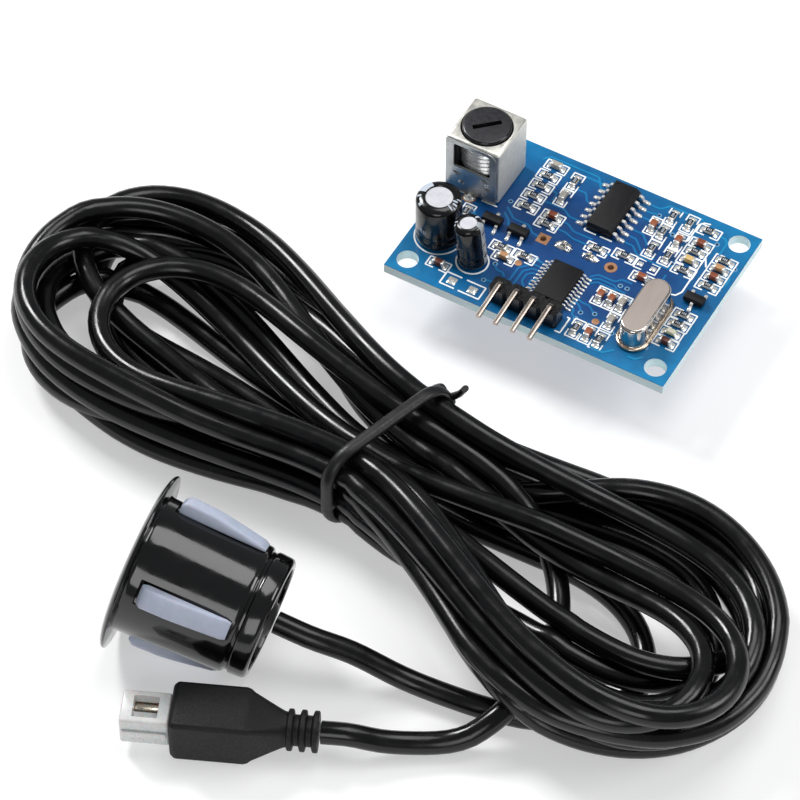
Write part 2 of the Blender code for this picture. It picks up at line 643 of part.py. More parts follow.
def make_plug(mats):
    """Moulded plug lying on the surface, nose first along its own -X."""
    stand = frame_at("plug_frame", (*PLUG_AT, 0), Matrix.Rotation(PLUG_HEADING, 3, "Z"))
    start = NOSE_LENGTH + GAP
    half = NOSE_SIDE / 2
    nose = box("plug_nose", (0, -half, PLUG_MID_Z - half), (NOSE_LENGTH, half, PLUG_MID_Z + half),
               mats["nose"], bevel=0.2, parent=stand)
    cavity = bmesh.new()
    for side in (-1, 1):
        middle = side * CONTACT_OFFSET
        box_into(cavity, (-1, middle - 0.75, PLUG_MID_Z - 0.9), (5.4, middle + 0.75, PLUG_MID_Z + 0.9))
    combine(nose, object_from("plug_cavities", cavity, None, parent=stand), "DIFFERENCE")
    window = bmesh.new()
    box_into(window, (1.6, -1.5, PLUG_MID_Z + 0.5), (4.6, 1.5, PLUG_MID_Z + 4))
    combine(nose, object_from("plug_window", window, None, parent=stand), "DIFFERENCE")
    for k, side in enumerate((-1, 1)):
        middle = side * CONTACT_OFFSET
        box(f"plug_contact_{k + 1}", (0.6, middle - 0.55, PLUG_MID_Z - 0.7),
            (5.2, middle + 0.55, PLUG_MID_Z + 0.7), mats["pin"], parent=stand)
    stations = [(0, 3.1, 0.5, 7.0, 0.4), (0.5, 3.55, 0.0, 7.5, 0.5), (9.6, 3.55, 0.0, 7.5, 0.5),
                (14.2, 1.9, 1.6, 5.9, 1.2)]
    for k in range(RIB_COUNT):
        x = RIB_START + RIB_PITCH * k
        stations += [(x, 2.4, 1.35, 6.15, 1.9), (x + 0.8, 2.4, 1.35, 6.15, 1.9),
                     (x + 0.9, 1.8, 1.95, 5.55, 1.5), (x + 1.5, 1.8, 1.95, 5.55, 1.5)]
    stations = stations[:-2]
    rings = [rounded_ring(half_y, low, high, corner, start + x)
             for x, half_y, low, high, corner in stations]
    loft("plug_body", rings, mats["matte_black"], parent=stand)
    reach = start + stations[-1][0] + MEET_GAP
    exit_point = Vector((*PLUG_AT, PLUG_MID_Z)) + Vector((cos(PLUG_HEADING), sin(PLUG_HEADING), 0)) * reach
    return exit_point, Vector((cos(PLUG_HEADING), sin(PLUG_HEADING), 0))


def make_hank(mats):
    """Outer shape of the tied hank: two flat lobes and a round, raised waist."""
    matrix = Matrix.Rotation(HANK_HEADING, 3, "Z")
    stand = frame_at("hank_frame", (*HANK_AT, 0), matrix)
    count = 28
    widest = 0.66
    rings = []
    for k in range(count + 1):
        x = -HANK_HALF_LENGTH * cos(pi * k / count)
        out = abs(x) / HANK_HALF_LENGTH
        spread = sin(pi / 2 * min(1.0, out / 0.62)) ** 1.6
        half = WAIST_HALF + (LOBE_HALF - WAIST_HALF) * spread
        if out > widest:
            half = LOBE_HALF * sqrt(max(0.03, 1 - ((out - widest) / (1 - widest)) ** 2))
        tall = WAIST_HEIGHT - (WAIST_HEIGHT - LOBE_HEIGHT) * spread
        low = WAIST_RAISE * (1 - min(1.0, out / 0.22))
        rings.append(rounded_ring(half, low, low + tall, 2.8, x, steps=3))
    loft("cable_hank", rings, mats["cable"], parent=stand, smooth=True)
    inner = [Vector(p) for p in rounded_ring(WAIST_HALF + 0.5, TIE_LOW, TIE_HIGH, 3.2, 0, steps=4)]
    middle = Vector((0, 0, (TIE_LOW + TIE_HIGH) / 2))
    sideways = Vector((TIE_WIRE_R, 0, 0))
    rings = []
    for point in inner:
        out = (point - middle).normalized() * TIE_WIRE_R
        rings.append([point + out * (1 + cos(a)) + sideways * sin(a)
                      for a in (2 * pi * j / 8 for j in range(8))])
    bm = bmesh.new()
    rows = [[bm.verts.new(point) for point in ring] for ring in rings]
    for one, two in zip(rows, rows[1:] + rows[:1]):
        for j in range(8):
            bm.faces.new((one[j], one[(j + 1) % 8], two[(j + 1) % 8], two[j]))
    object_from("hank_tie", bm, mats["rubber"], stand, smooth=True)


def make_cables(mats, probe_exit, probe_along, plug_exit, plug_along):
    """The two ends of the lead, from the probe and from the plug, to the hank."""
    probe_route = (probe_exit, probe_exit + probe_along * 5, (5.5, -68.4, 4.9), (11.5, -67.0, 2.2),
                   (16.6, -66.3, LYING), (22.4, -65.6, LYING))
    tube("probe_cable", probe_route, CABLE_D, mats["cable"])
    plug_route = (plug_exit, plug_exit + plug_along * 3.5,
                  plug_exit + plug_along * 8 + Vector((0, 0.4, -1.4)),
                  (20.5, -72.9, 1.7), (23.6, -70.6, 2.6), (25.6, -67.6, 4.1))
    tube("plug_cable", plug_route, CABLE_D, mats["cable"])


def main():
    clear_scene()
    mats = {
        "board": material("board_blue", (0.01, 0.13, 0.42), 0.3),
        "tin": material("tinned_steel", (0.62, 0.62, 0.6), 0.35, 0.9),
        "former": material("former_black", (0.03, 0.03, 0.03), 0.6),
        "ferrite": material("ferrite_grey", (0.12, 0.12, 0.13), 0.5),
        "copper": material("copper_winding", (0.6, 0.25, 0.1), 0.4, 0.8),
        "core": material("core_black", (0.02, 0.02, 0.025), 0.3),
        "sleeve": material("sleeve_black", (0.015, 0.015, 0.02), 0.2),
        "rubber": material("rubber_black", (0.02, 0.02, 0.02), 0.7),
        "block": material("header_black", (0.015, 0.015, 0.015), 0.4),
        "pin": material("pin_tin", (0.7, 0.66, 0.6), 0.25, 1.0),
        "epoxy": material("epoxy_black", (0.02, 0.02, 0.02), 0.55),
        "steel": material("crystal_steel", (0.6, 0.58, 0.55), 0.35, 0.9),
        "ceramic": material("capacitor_tan", (0.45, 0.25, 0.12), 0.5),
        "led": material("led_white", (0.85, 0.85, 0.8), 0.3),
        "nylon": material("nylon_white", (0.85, 0.85, 0.82), 0.4),
        "gloss_black": material("housing_black", (0.01, 0.01, 0.01), 0.12),
        "aluminium": material("diaphragm_aluminium", (0.1, 0.1, 0.1), 0.4, 0.6),
        "piezo": material("piezo_ceramic", (0.7, 0.65, 0.5), 0.5),
        "pad": material("pad_grey", (0.6, 0.63, 0.7), 0.5),
        "cable": material("cable_black", (0.012, 0.012, 0.012), 0.25),
        "matte_black": material("plug_black", (0.02, 0.02, 0.02), 0.6),
        "nose": material("nose_white", (0.75, 0.75, 0.73), 0.3),
    }
    make_board(mats)
    make_coil(mats)
    make_electrolytic("large_capacitor", *LARGE_CAPACITOR, mats)
    make_electrolytic("small_capacitor", *SMALL_CAPACITOR, mats)
    make_header(mats)
    make_chips(mats)
    make_crystal(mats)
    make_chip_parts(mats)
    make_socket(mats)
    probe_exit, probe_along = make_probe(mats)
    plug_exit, plug_along = make_plug(mats)
    make_hank(mats)
    make_cables(mats, probe_exit, probe_along, plug_exit, plug_along)


main()
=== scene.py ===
"""Looks of the ultrasonic ranging module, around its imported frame.

Shapes are drawn in millimetres and become metres as their pieces are made. Board coordinates run
from the board's front left corner; the hank has its own frame, with its long axis along X.
"""
from math import atan2, cos, pi, radians, sin

import bmesh
import bpy
import numpy as np
from mathutils import Matrix, Vector


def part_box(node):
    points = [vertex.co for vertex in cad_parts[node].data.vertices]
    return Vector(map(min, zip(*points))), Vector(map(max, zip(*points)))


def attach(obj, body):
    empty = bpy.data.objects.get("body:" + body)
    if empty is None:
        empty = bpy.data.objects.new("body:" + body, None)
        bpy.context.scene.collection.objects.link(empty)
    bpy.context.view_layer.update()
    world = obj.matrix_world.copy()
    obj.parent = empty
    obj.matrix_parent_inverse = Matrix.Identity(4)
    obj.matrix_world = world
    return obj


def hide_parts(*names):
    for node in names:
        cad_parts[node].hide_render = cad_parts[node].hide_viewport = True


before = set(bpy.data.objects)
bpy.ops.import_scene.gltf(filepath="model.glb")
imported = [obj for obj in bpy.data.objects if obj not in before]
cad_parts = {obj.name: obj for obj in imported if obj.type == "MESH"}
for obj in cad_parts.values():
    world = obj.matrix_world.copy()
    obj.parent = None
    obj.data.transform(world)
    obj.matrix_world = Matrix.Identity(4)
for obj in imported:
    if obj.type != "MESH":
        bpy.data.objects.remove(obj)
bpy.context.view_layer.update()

MM = 0.001
BOARD_BODY = "driver_board"
CORE_BODY = "tuning_core"
LEAD_BODY = "probe_lead"
UP = Vector((0, 0, 1))


def corners(node):
    """Lowest and highest corner of a CAD node, in millimetres."""
    return [Vector(corner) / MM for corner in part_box(node)]


BOARD_LOW, BOARD_HIGH = corners("circuit_board")
TOP = BOARD_HIGH.z
GAP = 0.1

# ---- camera: the view's turn and height in degrees, and the middle of the picture ----
VIEW_TURN = 29.7
VIEW_HEIGHT = 52.0
VIEW_MIDDLE = Vector((-9.3, -30.6, 5.0))
VIEW_DISTANCE = 550.0
LENS = 188.5

# ---- cord, hank and tie ----
CORD_D = 3.0
CORD_R = CORD_D / 2
LYING = 1.55
HANK_AT = np.array((-5.4, -40.8))
HANK_TURN = radians(-9.0)
TIE_HALF = 9.7
TIE_LOW = 1.5
TIE_HIGH = 13.5

# ---- probe: its radii and length, the rim's thickness, and its place and turn on the floor ----
FLANGE_R = 11.75
TAIL_R = 8.15
PROBE_LENGTH = 18.8
RIM_Z = 1.1
PROBE_AT = (-23.1, -73.7)
PROBE_TURN = radians(8.7)
PAD_COUNT = 4
PAD_FIRST_ANGLE = radians(55)

# ---- plug: its nose's end, its turn, the height of its middle, and its length ----
PLUG_AT = (-15.2, -90.1)
PLUG_TURN = radians(23.8)
PLUG_MID_Z = 3.75
PLUG_EXIT = 25.0

# ---- electrolytic capacitors: middle on the board, radius, height, and lean in degrees ----
LARGE_CAPACITOR = ((3.95, 8.0), 3.15, 8.0, 0)
SMALL_CAPACITOR = ((10.15, 6.3), 2.0, 7.6, -6.5)

# Solder beyond a bent lead's foot, as a share of the lead's width.
FOOT_SOLDER = 1.35

# ---- coil and crystal: their middles on the board ----
COIL_X, COIL_Y = 4.2, 20.6
CRYSTAL_X, CRYSTAL_Y = 34.9, 8.4

# ---- socket under the board: its mouth's middle, half width and depth ----
MOUTH_X, MOUTH_Z = 0.4, 3.7
MOUTH_HALF = 2.7
MOUTH_DEPTH = 8.2


# ======== shapes ========

def box_shape(low, high, bevel=0.0, segments=2):
    bm = bmesh.new()
    bmesh.ops.create_cube(bm, size=1.0)
    bmesh.ops.scale(bm, vec=[b - a for a, b in zip(low, high)], verts=bm.verts)
    bmesh.ops.translate(bm, vec=[(a + b) / 2 for a, b in zip(low, high)], verts=bm.verts)
    if bevel:
        bmesh.ops.bevel(bm, geom=bm.edges[:], offset=bevel, segments=segments, profile=0.5,
                        affect="EDGES")
    return bm


def turned(profile, sides=48, centre=(0, 0, 0)):
    """Turn a closed (radius, height) profile about Z; one that starts on the axis closes there."""
    bm = bmesh.new()
    rows = []
    for radius, height in profile:
        turns = [2 * pi * k / sides for k in range(sides)] if radius else [0.0]
        rows.append([bm.verts.new((centre[0] + radius * cos(a), centre[1] + radius * sin(a),
                                   centre[2] + height)) for a in turns])
    pairs = list(zip(rows, rows[1:]))
    if profile[0][0]:
        pairs.append((rows[-1], rows[0]))
    for one, two in pairs:
        for k in range(sides):
            ring = [one[k % len(one)], one[(k + 1) % len(one)],
                    two[(k + 1) % len(two)], two[k % len(two)]]
            distinct = list(dict.fromkeys(ring))
            if len(distinct) > 2:
                bm.faces.new(distinct)
    return bm


def loft(rings, closed=False):
    """Skin rings that have the same number of points; open ends are capped."""
    bm = bmesh.new()
    rows = [[bm.verts.new(point) for point in ring] for ring in rings]
    count = len(rows[0])
    pairs = list(zip(rows, rows[1:]))
    if closed:
        pairs.append((rows[-1], rows[0]))
    for one, two in pairs:
        for k in range(count):
            bm.faces.new((one[k], one[(k + 1) % count], two[(k + 1) % count], two[k]))
    if not closed:
        bm.faces.new(rows[0][::-1])
        bm.faces.new(rows[-1])
    return bm


def sweep(path, ring, across=None, closed=False):
    """Skin a flat ring along a path; across is its first axis, level and square to the path if unset."""
    points = [Vector(p) for p in path]
    count = len(points)
    rings = []
    for k, point in enumerate(points):
        before = (point - points[k - 1]).normalized() if k or closed else None
        after = (points[(k + 1) % count] - point).normalized() if k + 1 < count or closed else before
        before = before or after
        along = (before + after).normalized()
        side = Vector(across) if across else along.cross(UP)
        side = (side - side.dot(along) * along).normalized()
        rise = side.cross(along)
        bend = after - before
        mitre = 1 / max(0.5, along.dot(before)) - 1
        bend = bend.normalized() if bend.length > 1e-6 else bend
        wide = 1 + mitre * abs(side.dot(bend))
        tall = 1 + mitre * abs(rise.dot(bend))
        rings.append([point + side * u * wide + rise * v * tall for u, v in ring])
    return loft(rings, closed)


def rounded(path, radius, steps=4):
    """The path with its corners rounded."""
    points = [Vector(p) for p in path]
    out = [points[0]]
    for a, b, c in zip(points, points[1:], points[2:]):
        cut = min(radius, (b - a).length * 0.45, (c - b).length * 0.45)
        start = b + (a - b).normalized() * cut
        end = b + (c - b).normalized() * cut
        for k in range(steps + 1):
            t = k / steps
            out.append(start.lerp(b, t).lerp(b.lerp(end, t), t))
    return out + [points[-1]]


def around(count, radius=1.0):
    """Points of a level circle."""
    return [(radius * cos(2 * pi * k / count), radius * sin(2 * pi * k / count)) for k in range(count)]


def rectangle(x0, x1, y0, y1, corner, steps=3):
    """Points round a rectangle with rounded corners."""
    corner = min(corner, (x1 - x0) / 2 - 0.001, (y1 - y0) / 2 - 0.001)
    middles = ((x1 - corner, y1 - corner, 0), (x0 + corner, y1 - corner, 90),
               (x0 + corner, y0 + corner, 180), (x1 - corner, y0 + corner, 270))
    return [(cx + corner * cos(radians(start + 90 * k / steps)),
             cy + corner * sin(radians(start + 90 * k / steps)))
            for cx, cy, start in middles for k in range(steps + 1)]


def oval(wide, tall, count=10):
    return [(wide * x, tall * y) for x, y in around(count)]


def stack(levels):
    """Loft of level rounded rectangles, each (x0, x1, y0, y1, corner, z)."""
    return loft([[(x, y, level[5]) for x, y in rectangle(*level[:5])] for level in levels])


def tapered(levels):
    """Loft of level rounded squares about the middle, each (half, corner, z)."""
    return stack([(-half, half, -half, half, corner, z) for half, corner, z in levels])


def racetrack(length, width, z):
    """Outline with straight long sides along Y and half-round ends."""
    radius = width / 2
    run = length / 2 - radius
    steps = 14
    return [(radius * cos(start + pi * k / steps), shift + radius * sin(start + pi * k / steps), z)
            for shift, start in ((run, 0.0), (-run, pi)) for k in range(steps + 1)]


def stamp(bm, part, matrix=None, mat=0):
    """Copy a shape into another mesh, and free it."""
    made = {v: bm.verts.new(matrix @ v.co if matrix else v.co) for v in part.verts}
    for face in part.faces:
        bm.faces.new([made[v] for v in face.verts]).material_index = mat
    part.free()


def placed(part, matrix, mat=0):
    """The shape in a mesh of its own, moved by a matrix."""
    bm = bmesh.new()
    stamp(bm, part, matrix, mat)
    return bm


def cut(target, cutter):
    """Take a closed shape out of another."""
    items = []
    for bm in (target, cutter):
        mesh = bpy.data.meshes.new("cut")
        bm.to_mesh(mesh)
        bm.free()
        items.append(bpy.data.objects.new("cut", mesh))
        bpy.context.scene.collection.objects.link(items[-1])
    modifier = items[0].modifiers.new("cut", "BOOLEAN")
    modifier.operation = "DIFFERENCE"
    modifier.solver = "EXACT"
    modifier.object = items[1]
    result = bmesh.new()
    result.from_object(items[0], bpy.context.evaluated_depsgraph_get())
    for item in items:
        mesh = item.data
        bpy.data.objects.remove(item)
        bpy.data.meshes.remove(mesh)
    return result


def soften(bm, fold, offset, segments):
    """Round off the edges whose faces meet at more than that angle, in radians."""
    sharp = [edge for edge in bm.edges if edge.calc_face_angle(0) > fold]
    bmesh.ops.bevel(bm, geom=sharp, offset=offset, segments=segments, profile=0.5, affect="EDGES")


def paint(bm, rule):
    """Give each face the material number that the rule returns for its middle and normal."""
    bmesh.ops.recalc_face_normals(bm, faces=bm.faces)
    for face in bm.faces:
        face.material_index = rule(face.calc_center_median(), face.normal)


def piece(name, bm, mats, body, nodes=(), sharp=35):
    """Make a piece of a mesh drawn in millimetres, riding on a body."""
    bmesh.ops.scale(bm, vec=(MM, MM, MM), verts=bm.verts)
    bmesh.ops.recalc_face_normals(bm, faces=bm.faces)
    mesh = bpy.data.meshes.new(name)
    bm.to_mesh(mesh)
    bm.free()
    for mat in mats:
        mesh.materials.append(mat)
    mesh.shade_smooth()
    mesh.set_sharp_from_angle(angle=radians(sharp))
    item = bpy.data.objects.new(name, mesh)
    bpy.context.scene.collection.objects.link(item)
    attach(item, body)
    if nodes:
        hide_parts(*nodes)
    return item


def refinish(node, mat):
    """Give a CAD node that stays a better material."""
    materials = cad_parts[node].data.materials
    materials.clear()
    materials.append(mat)


# ======== materials ========

def srgb(*levels):
    """Linear colour from screen levels of 0 to 255."""
    return [((v / 255 + 0.055) / 1.055) ** 2.4 if v > 10 else v / 255 / 12.92 for v in levels]


class Finish:
    """Material whose colour, gloss and relief vary over the surface; sizes are in millimetres."""

    def __init__(self, name, colour, roughness, metallic=0.0, **sockets):
        self.made = bpy.data.materials.new(name)
        self.made.use_nodes = True
        self.tree = self.made.node_tree
        self.shader = self.tree.nodes["Principled BSDF"]
        self.colour = (*colour, 1.0)
        self.shader.inputs["Base Color"].default_value = self.colour
        self.shader.inputs["Roughness"].default_value = roughness
        self.shader.inputs["Metallic"].default_value = metallic
        for socket, value in sockets.items():
            self.shader.inputs[socket.replace("_", " ")].default_value = value
        self.roughness = roughness
        self.coords = self.tree.nodes.new("ShaderNodeTexCoord").outputs["Object"]

    def node(self, kind, **settings):
        made = self.tree.nodes.new(kind)
        for name, value in settings.items():
            setattr(made, name, value)
        return made

    def link(self, source, target):
        self.tree.links.new(source, target)

    def noise(self, size, stretch=(1, 1, 1), detail=3.0):
        mapping = self.node("ShaderNodeMapping")
        mapping.inputs["Scale"].default_value = [1 / (size * MM * s) for s in stretch]
        self.link(self.coords, mapping.inputs["Vector"])
        noise = self.node("ShaderNodeTexNoise")
        noise.inputs["Scale"].default_value = 1.0
        noise.inputs["Detail"].default_value = detail
        self.link(mapping.outputs["Vector"], noise.inputs["Vector"])
        return noise.outputs["Fac"]

    def mix(self, factor, one, two):
        mixer = self.node("ShaderNodeMix", data_type="RGBA")
        self.link(factor, mixer.inputs["Factor"])
        for socket, value in ((mixer.inputs[6], one), (mixer.inputs[7], two)):
            if isinstance(value, bpy.types.NodeSocket):
                self.link(value, socket)
            else:
                socket.default_value = (*value[:3], 1.0)
        return mixer.outputs[2]

    def spread(self, value, low, high, to_low, to_high):
        ranged = self.node("ShaderNodeMapRange")
        for socket, number in zip(ranged.inputs[1:5], (low, high, to_low, to_high)):
            socket.default_value = number
        self.link(value, ranged.inputs[0])
        return ranged.outputs[0]

    def vary(self, amount=0.15, size=1.5, other=None, stretch=(1, 1, 1)):
        """Blotches of a darker and a lighter colour, or of another colour."""
        dark = [c * (1 - amount) for c in self.colour[:3]]
        light = other or [min(1.0, c * (1 + amount)) for c in self.colour[:3]]
        factor = self.spread(self.noise(size, stretch), 0.3, 0.7, 0.0, 1.0)
        self.link(self.mix(factor, dark, light), self.shader.inputs["Base Color"])
        return self

    def gloss(self, amount=0.06, size=0.8, stretch=(1, 1, 1)):
        factor = self.spread(self.noise(size, stretch), 0.3, 0.7, self.roughness - amount,
                             self.roughness + amount)
        self.link(factor, self.shader.inputs["Roughness"])
        return self

    def relief(self, height=0.004, size=0.12, stretch=(1, 1, 1), detail=2.0):
        bump = self.node("ShaderNodeBump")
        bump.inputs["Distance"].default_value = height * MM
        self.link(self.noise(size, stretch, detail), bump.inputs["Height"])
        self.link(bump.outputs["Normal"], self.shader.inputs["Normal"])
        return self


def plain(name, colour, roughness, metallic=0.0, vary=0.15, patch=1.5, height=0.004, grain=0.12,
          stretch=(1, 1, 1), **sockets):
    made = Finish(name, colour, roughness, metallic, **sockets)
    made.vary(vary, patch, stretch=stretch)
    made.gloss(min(0.08, roughness * 0.4), patch * 0.6, stretch=stretch)
    made.relief(height, grain, stretch=stretch)
    return made.made


def mask_with_painted_light(name, dark, light, roughness):
    """Blue mask with painted light: paler towards the board's corners."""
    made = Finish(name, dark, roughness, Specular_IOR_Level=0.3, Coat_Weight=0.08,
                  Coat_Roughness=0.15)
    mapping = made.node("ShaderNodeMapping")
    mapping.inputs["Scale"].default_value = (1 / (BOARD_HIGH.x * MM), 1 / (BOARD_HIGH.y * MM), 0.0)
    made.link(made.coords, mapping.inputs["Vector"])
    length = made.node("ShaderNodeVectorMath", operation="LENGTH")
    made.link(mapping.outputs["Vector"], length.inputs[0])
    # Painted light: the blue turns paler with distance from the board's middle.
    edge = made.spread(length.outputs["Value"], 0.62, 1.38, 0.0, 1.0)
    painted_light_tone = made.mix(edge, dark, light)
    blotch = made.spread(made.noise(2.2), 0.35, 0.7, 0.0, 0.28)
    made.link(made.mix(blotch, painted_light_tone, [c * 0.6 for c in dark]), made.shader.inputs["Base Color"])
    made.gloss(0.05, 1.2)
    made.relief(0.006, 0.35)
    return made.made


def make_materials():
    mats = {
        # Both blues carry painted light, paler towards the board's corners.
        "mask": mask_with_painted_light("mask_blue", srgb(0, 62, 120), srgb(0, 124, 176), 0.38),
        "trace": mask_with_painted_light("trace_blue", srgb(4, 104, 160), srgb(20, 148, 194), 0.36),
        "via": plain("via_ring", srgb(96, 150, 190), 0.35),
        "laminate": plain("laminate_edge", srgb(206, 228, 232), 0.42, 0.0, 0.06, 0.8, 0.01, 0.15,
                          (3, 3, 0.35), Subsurface_Weight=0.25, Subsurface_Scale=0.001),
        "silk": plain("silk_white", srgb(238, 241, 242), 0.5, 0.0, 0.05, 0.5, 0.004, 0.1),
        "gold": plain("pad_gold", srgb(164, 120, 88), 0.45, 0.4, 0.14, 0.5, 0.004, 0.15),
        "solder": plain("solder_tin", srgb(232, 232, 228), 0.2, 0.6, 0.1, 0.4, 0.02, 0.3),
        "joint_tin": plain("joint_tin", srgb(236, 235, 230), 0.2, 0.95, 0.1, 0.5, 0.03, 0.4),
        "lead_tin": plain("lead_tin", srgb(236, 234, 230), 0.22, 0.6, 0.08, 0.35, 0.004, 0.12),
        # The can is one tin sheet. Its top, sides and front get lit and shaded copies of it, painted light
        # and shade, each with the tin's own mottling.
        "can": plain("can_tin_lit", srgb(226, 224, 216), 0.34, 0.8, 0.07, 1.6, 0.006, 0.22, (1, 1, 2.5)),
        "can_side_shaded": plain("can_side_tin_shaded", srgb(206, 206, 202), 0.46, 0.4, 0.08, 0.9, 0.014, 0.25),
        "can_front_shaded": plain("can_front_tin_shaded", srgb(188, 190, 190), 0.34, 0.8, 0.14, 2.2, 0.012, 0.8),
        "former": plain("former_black", srgb(34, 34, 36), 0.6),
        "ferrite": plain("ferrite_grey", srgb(92, 94, 98), 0.42, 0.25, 0.2, 0.6, 0.01, 0.12),
        "copper": plain("winding_copper", srgb(196, 104, 60), 0.34, 0.85, 0.2, 0.5, 0.03, 0.1,
                        (4, 4, 0.6)),
        "core": plain("core_face", srgb(26, 26, 31), 0.4, 0.0, 0.12, 0.9, 0.008, 0.1),
        "core_rim": plain("core_rim", srgb(18, 18, 20), 0.16, 0.0, 0.2, 1.0, 0.003, 0.3),
        "thread": plain("core_thread", srgb(206, 208, 208), 0.3, 0.6, 0.15, 0.8, 0.006, 0.2),
        "sleeve": plain("sleeve_black", srgb(11, 11, 14), 0.2, 0.0, 0.3, 1.5, 0.012, 0.9,
                        Specular_IOR_Level=0.4, Coat_Weight=0.12, Coat_Roughness=0.08),
        "cap_top": plain("cap_top_grey", srgb(206, 206, 212), 0.42, 0.35, 0.04, 1.0, 0.003, 0.1),
        # Pale print on the parts; on the capacitors' top lips the same colour is a painted highlight.
        "print_and_highlight": plain("print_and_highlight_white", srgb(184, 192, 204), 0.35, 0.0, 0.12, 0.3, 0.003, 0.1),
        "stripe": plain("stripe_grey", srgb(160, 166, 172), 0.22, 0.0, 0.12, 0.4, 0.003, 0.2),
        "rubber": plain("bung_rubber", srgb(24, 24, 24), 0.7),
        # Black of the header block, also used as painted shade inside the vias.
        "block": plain("block_black_and_via_shade", srgb(13, 13, 15), 0.3, 0.0, 0.25, 0.7, 0.01, 0.18,
                       Specular_IOR_Level=0.4),
        "pin": plain("pin_tin", srgb(168, 157, 148), 0.25, 1.0, 0.08, 0.9, 0.004, 0.3, (1, 6, 1)),
        "epoxy": plain("epoxy_black", srgb(18, 18, 20), 0.46, 0.0, 0.14, 0.5, 0.012, 0.07,
                       Specular_IOR_Level=0.24),
        "crystal_top": plain("crystal_top", srgb(162, 151, 144), 0.5, 0.45, 0.05, 1.0, 0.01, 0.12,
                             (1, 5, 1)),
        "crystal_side": plain("crystal_side", srgb(206, 200, 194), 0.17, 1.0, 0.08, 1.4, 0.006, 0.5,
                              (1, 1, 4)),
        "crystal_rim": plain("crystal_rim", srgb(196, 176, 156), 0.22, 1.0, 0.1, 1.2),
        "resistor": plain("resistor_black", srgb(14, 14, 16), 0.3, 0.0, 0.2, 0.3, 0.005, 0.1),
        "alumina": plain("alumina_white", srgb(216, 214, 206), 0.5),
        "terminal": plain("terminal_tin", srgb(222, 220, 214), 0.26, 0.65, 0.12, 0.25, 0.012, 0.14),
        "led": plain("led_lens", srgb(228, 226, 200), 0.18, 0.0, 0.08, 0.4, 0.004, 0.2,
                     Subsurface_Weight=0.3, Subsurface_Scale=0.0005),
        "led_die": plain("led_body", srgb(196, 204, 172), 0.4),
        "nylon": plain("socket_nylon", srgb(230, 229, 220), 0.42, 0.0, 0.04, 1.0, 0.006, 0.25,
                       Subsurface_Weight=0.2, Subsurface_Scale=0.001),
        "contact": plain("contact_tin", srgb(214, 206, 190), 0.26, 1.0, 0.12, 0.6),
        "probe": plain("probe_gloss", srgb(6, 6, 7), 0.13, 0.0, 0.3, 3.0, 0.004, 0.6,
                       Coat_Weight=0.25, Coat_Roughness=0.05),
        "diaphragm": plain("diaphragm_black", srgb(38, 38, 40), 0.36, 0.5, 0.15, 1.0, 0.006, 0.1),
        "piezo": plain("piezo_ceramic", srgb(214, 206, 184), 0.5),
        "potting": plain("potting_black", srgb(26, 26, 27), 0.45, 0.0, 0.2, 1.2, 0.03, 0.8),
        "pad": plain("pad_silicone", srgb(172, 180, 198), 0.44, 0.0, 0.05, 1.2, 0.01, 0.18,
                     Subsurface_Weight=0.25, Subsurface_Scale=0.0015),
        "cable": plain("cable_jacket", srgb(9, 9, 10), 0.23, 0.0, 0.25, 5.0, 0.004, 0.6,
                       Specular_IOR_Level=0.38),
        "tie": plain("tie_rubber", srgb(14, 14, 15), 0.42, 0.0, 0.2, 0.8, 0.01, 0.2,
                     Specular_IOR_Level=0.4),
        "plug": plain("plug_black", srgb(14, 14, 15), 0.5, 0.0, 0.2, 0.6, 0.035, 0.12,
                      Specular_IOR_Level=0.25),
        "nose": plain("nose_nylon", srgb(206, 207, 206), 0.3, 0.0, 0.05, 0.8, 0.003, 0.5,
                      Subsurface_Weight=0.3, Subsurface_Scale=0.001),
        "floor": plain("floor_white", srgb(206, 206, 206), 0.8, 0.0, 0.01, 60.0, 0.01, 2.0,
                       Emission_Color=(1.0, 1.0, 1.0, 1.0), Emission_Strength=0.42),
    }
    ceramics = {"grey": (158, 154, 146), "sienna": (126, 62, 32), "tan": (178, 134, 92),
                "brown": (88, 42, 26), "straw": (206, 174, 112), "orange": (142, 76, 44)}
    for name, levels in ceramics.items():
        mats[name] = plain("ceramic_" + name, srgb(*levels), 0.38, 0.0, 0.14, 0.25, 0.006, 0.09)
    return mats


# ======== camera, light and floor ========

def view_axes():
    turn, height = radians(VIEW_TURN), radians(VIEW_HEIGHT)
    right = Vector((cos(turn), sin(turn), 0))
    back = Vector((sin(turn) * cos(height), -cos(turn) * cos(height), sin(height)))
    return right, back.cross(right), back


def make_camera():
    right, up, back = view_axes()
    data = bpy.data.cameras.new("camera")
    data.lens = LENS
    data.sensor_width = 36.0
    data.clip_start = 0.01
    item = bpy.data.objects.new("camera", data)
    turn = Matrix((right, up, back)).transposed().to_4x4()
    item.matrix_world = Matrix.Translation((VIEW_MIDDLE + back * VIEW_DISTANCE) * MM) @ turn
    bpy.context.scene.collection.objects.link(item)
    bpy.context.scene.camera = item


def softbox(name, offset, size, power):
    """Square area light that faces the middle of the picture; offset is right, ahead and up."""
    right = view_axes()[0]
    ahead = UP.cross(right)
    spot = VIEW_MIDDLE + right * offset[0] + ahead * offset[1] + UP * offset[2]
    data = bpy.data.lights.new(name, "AREA")
    data.shape = "SQUARE"
    data.size = size * MM
    data.energy = power
    item = bpy.data.objects.new(name, data)
    away = (spot - VIEW_MIDDLE).normalized()
    turn = away.to_track_quat("Z", "Y").to_matrix().to_4x4()
    item.matrix_world = Matrix.Translation(spot * MM) @ turn
    bpy.context.scene.collection.objects.link(item)


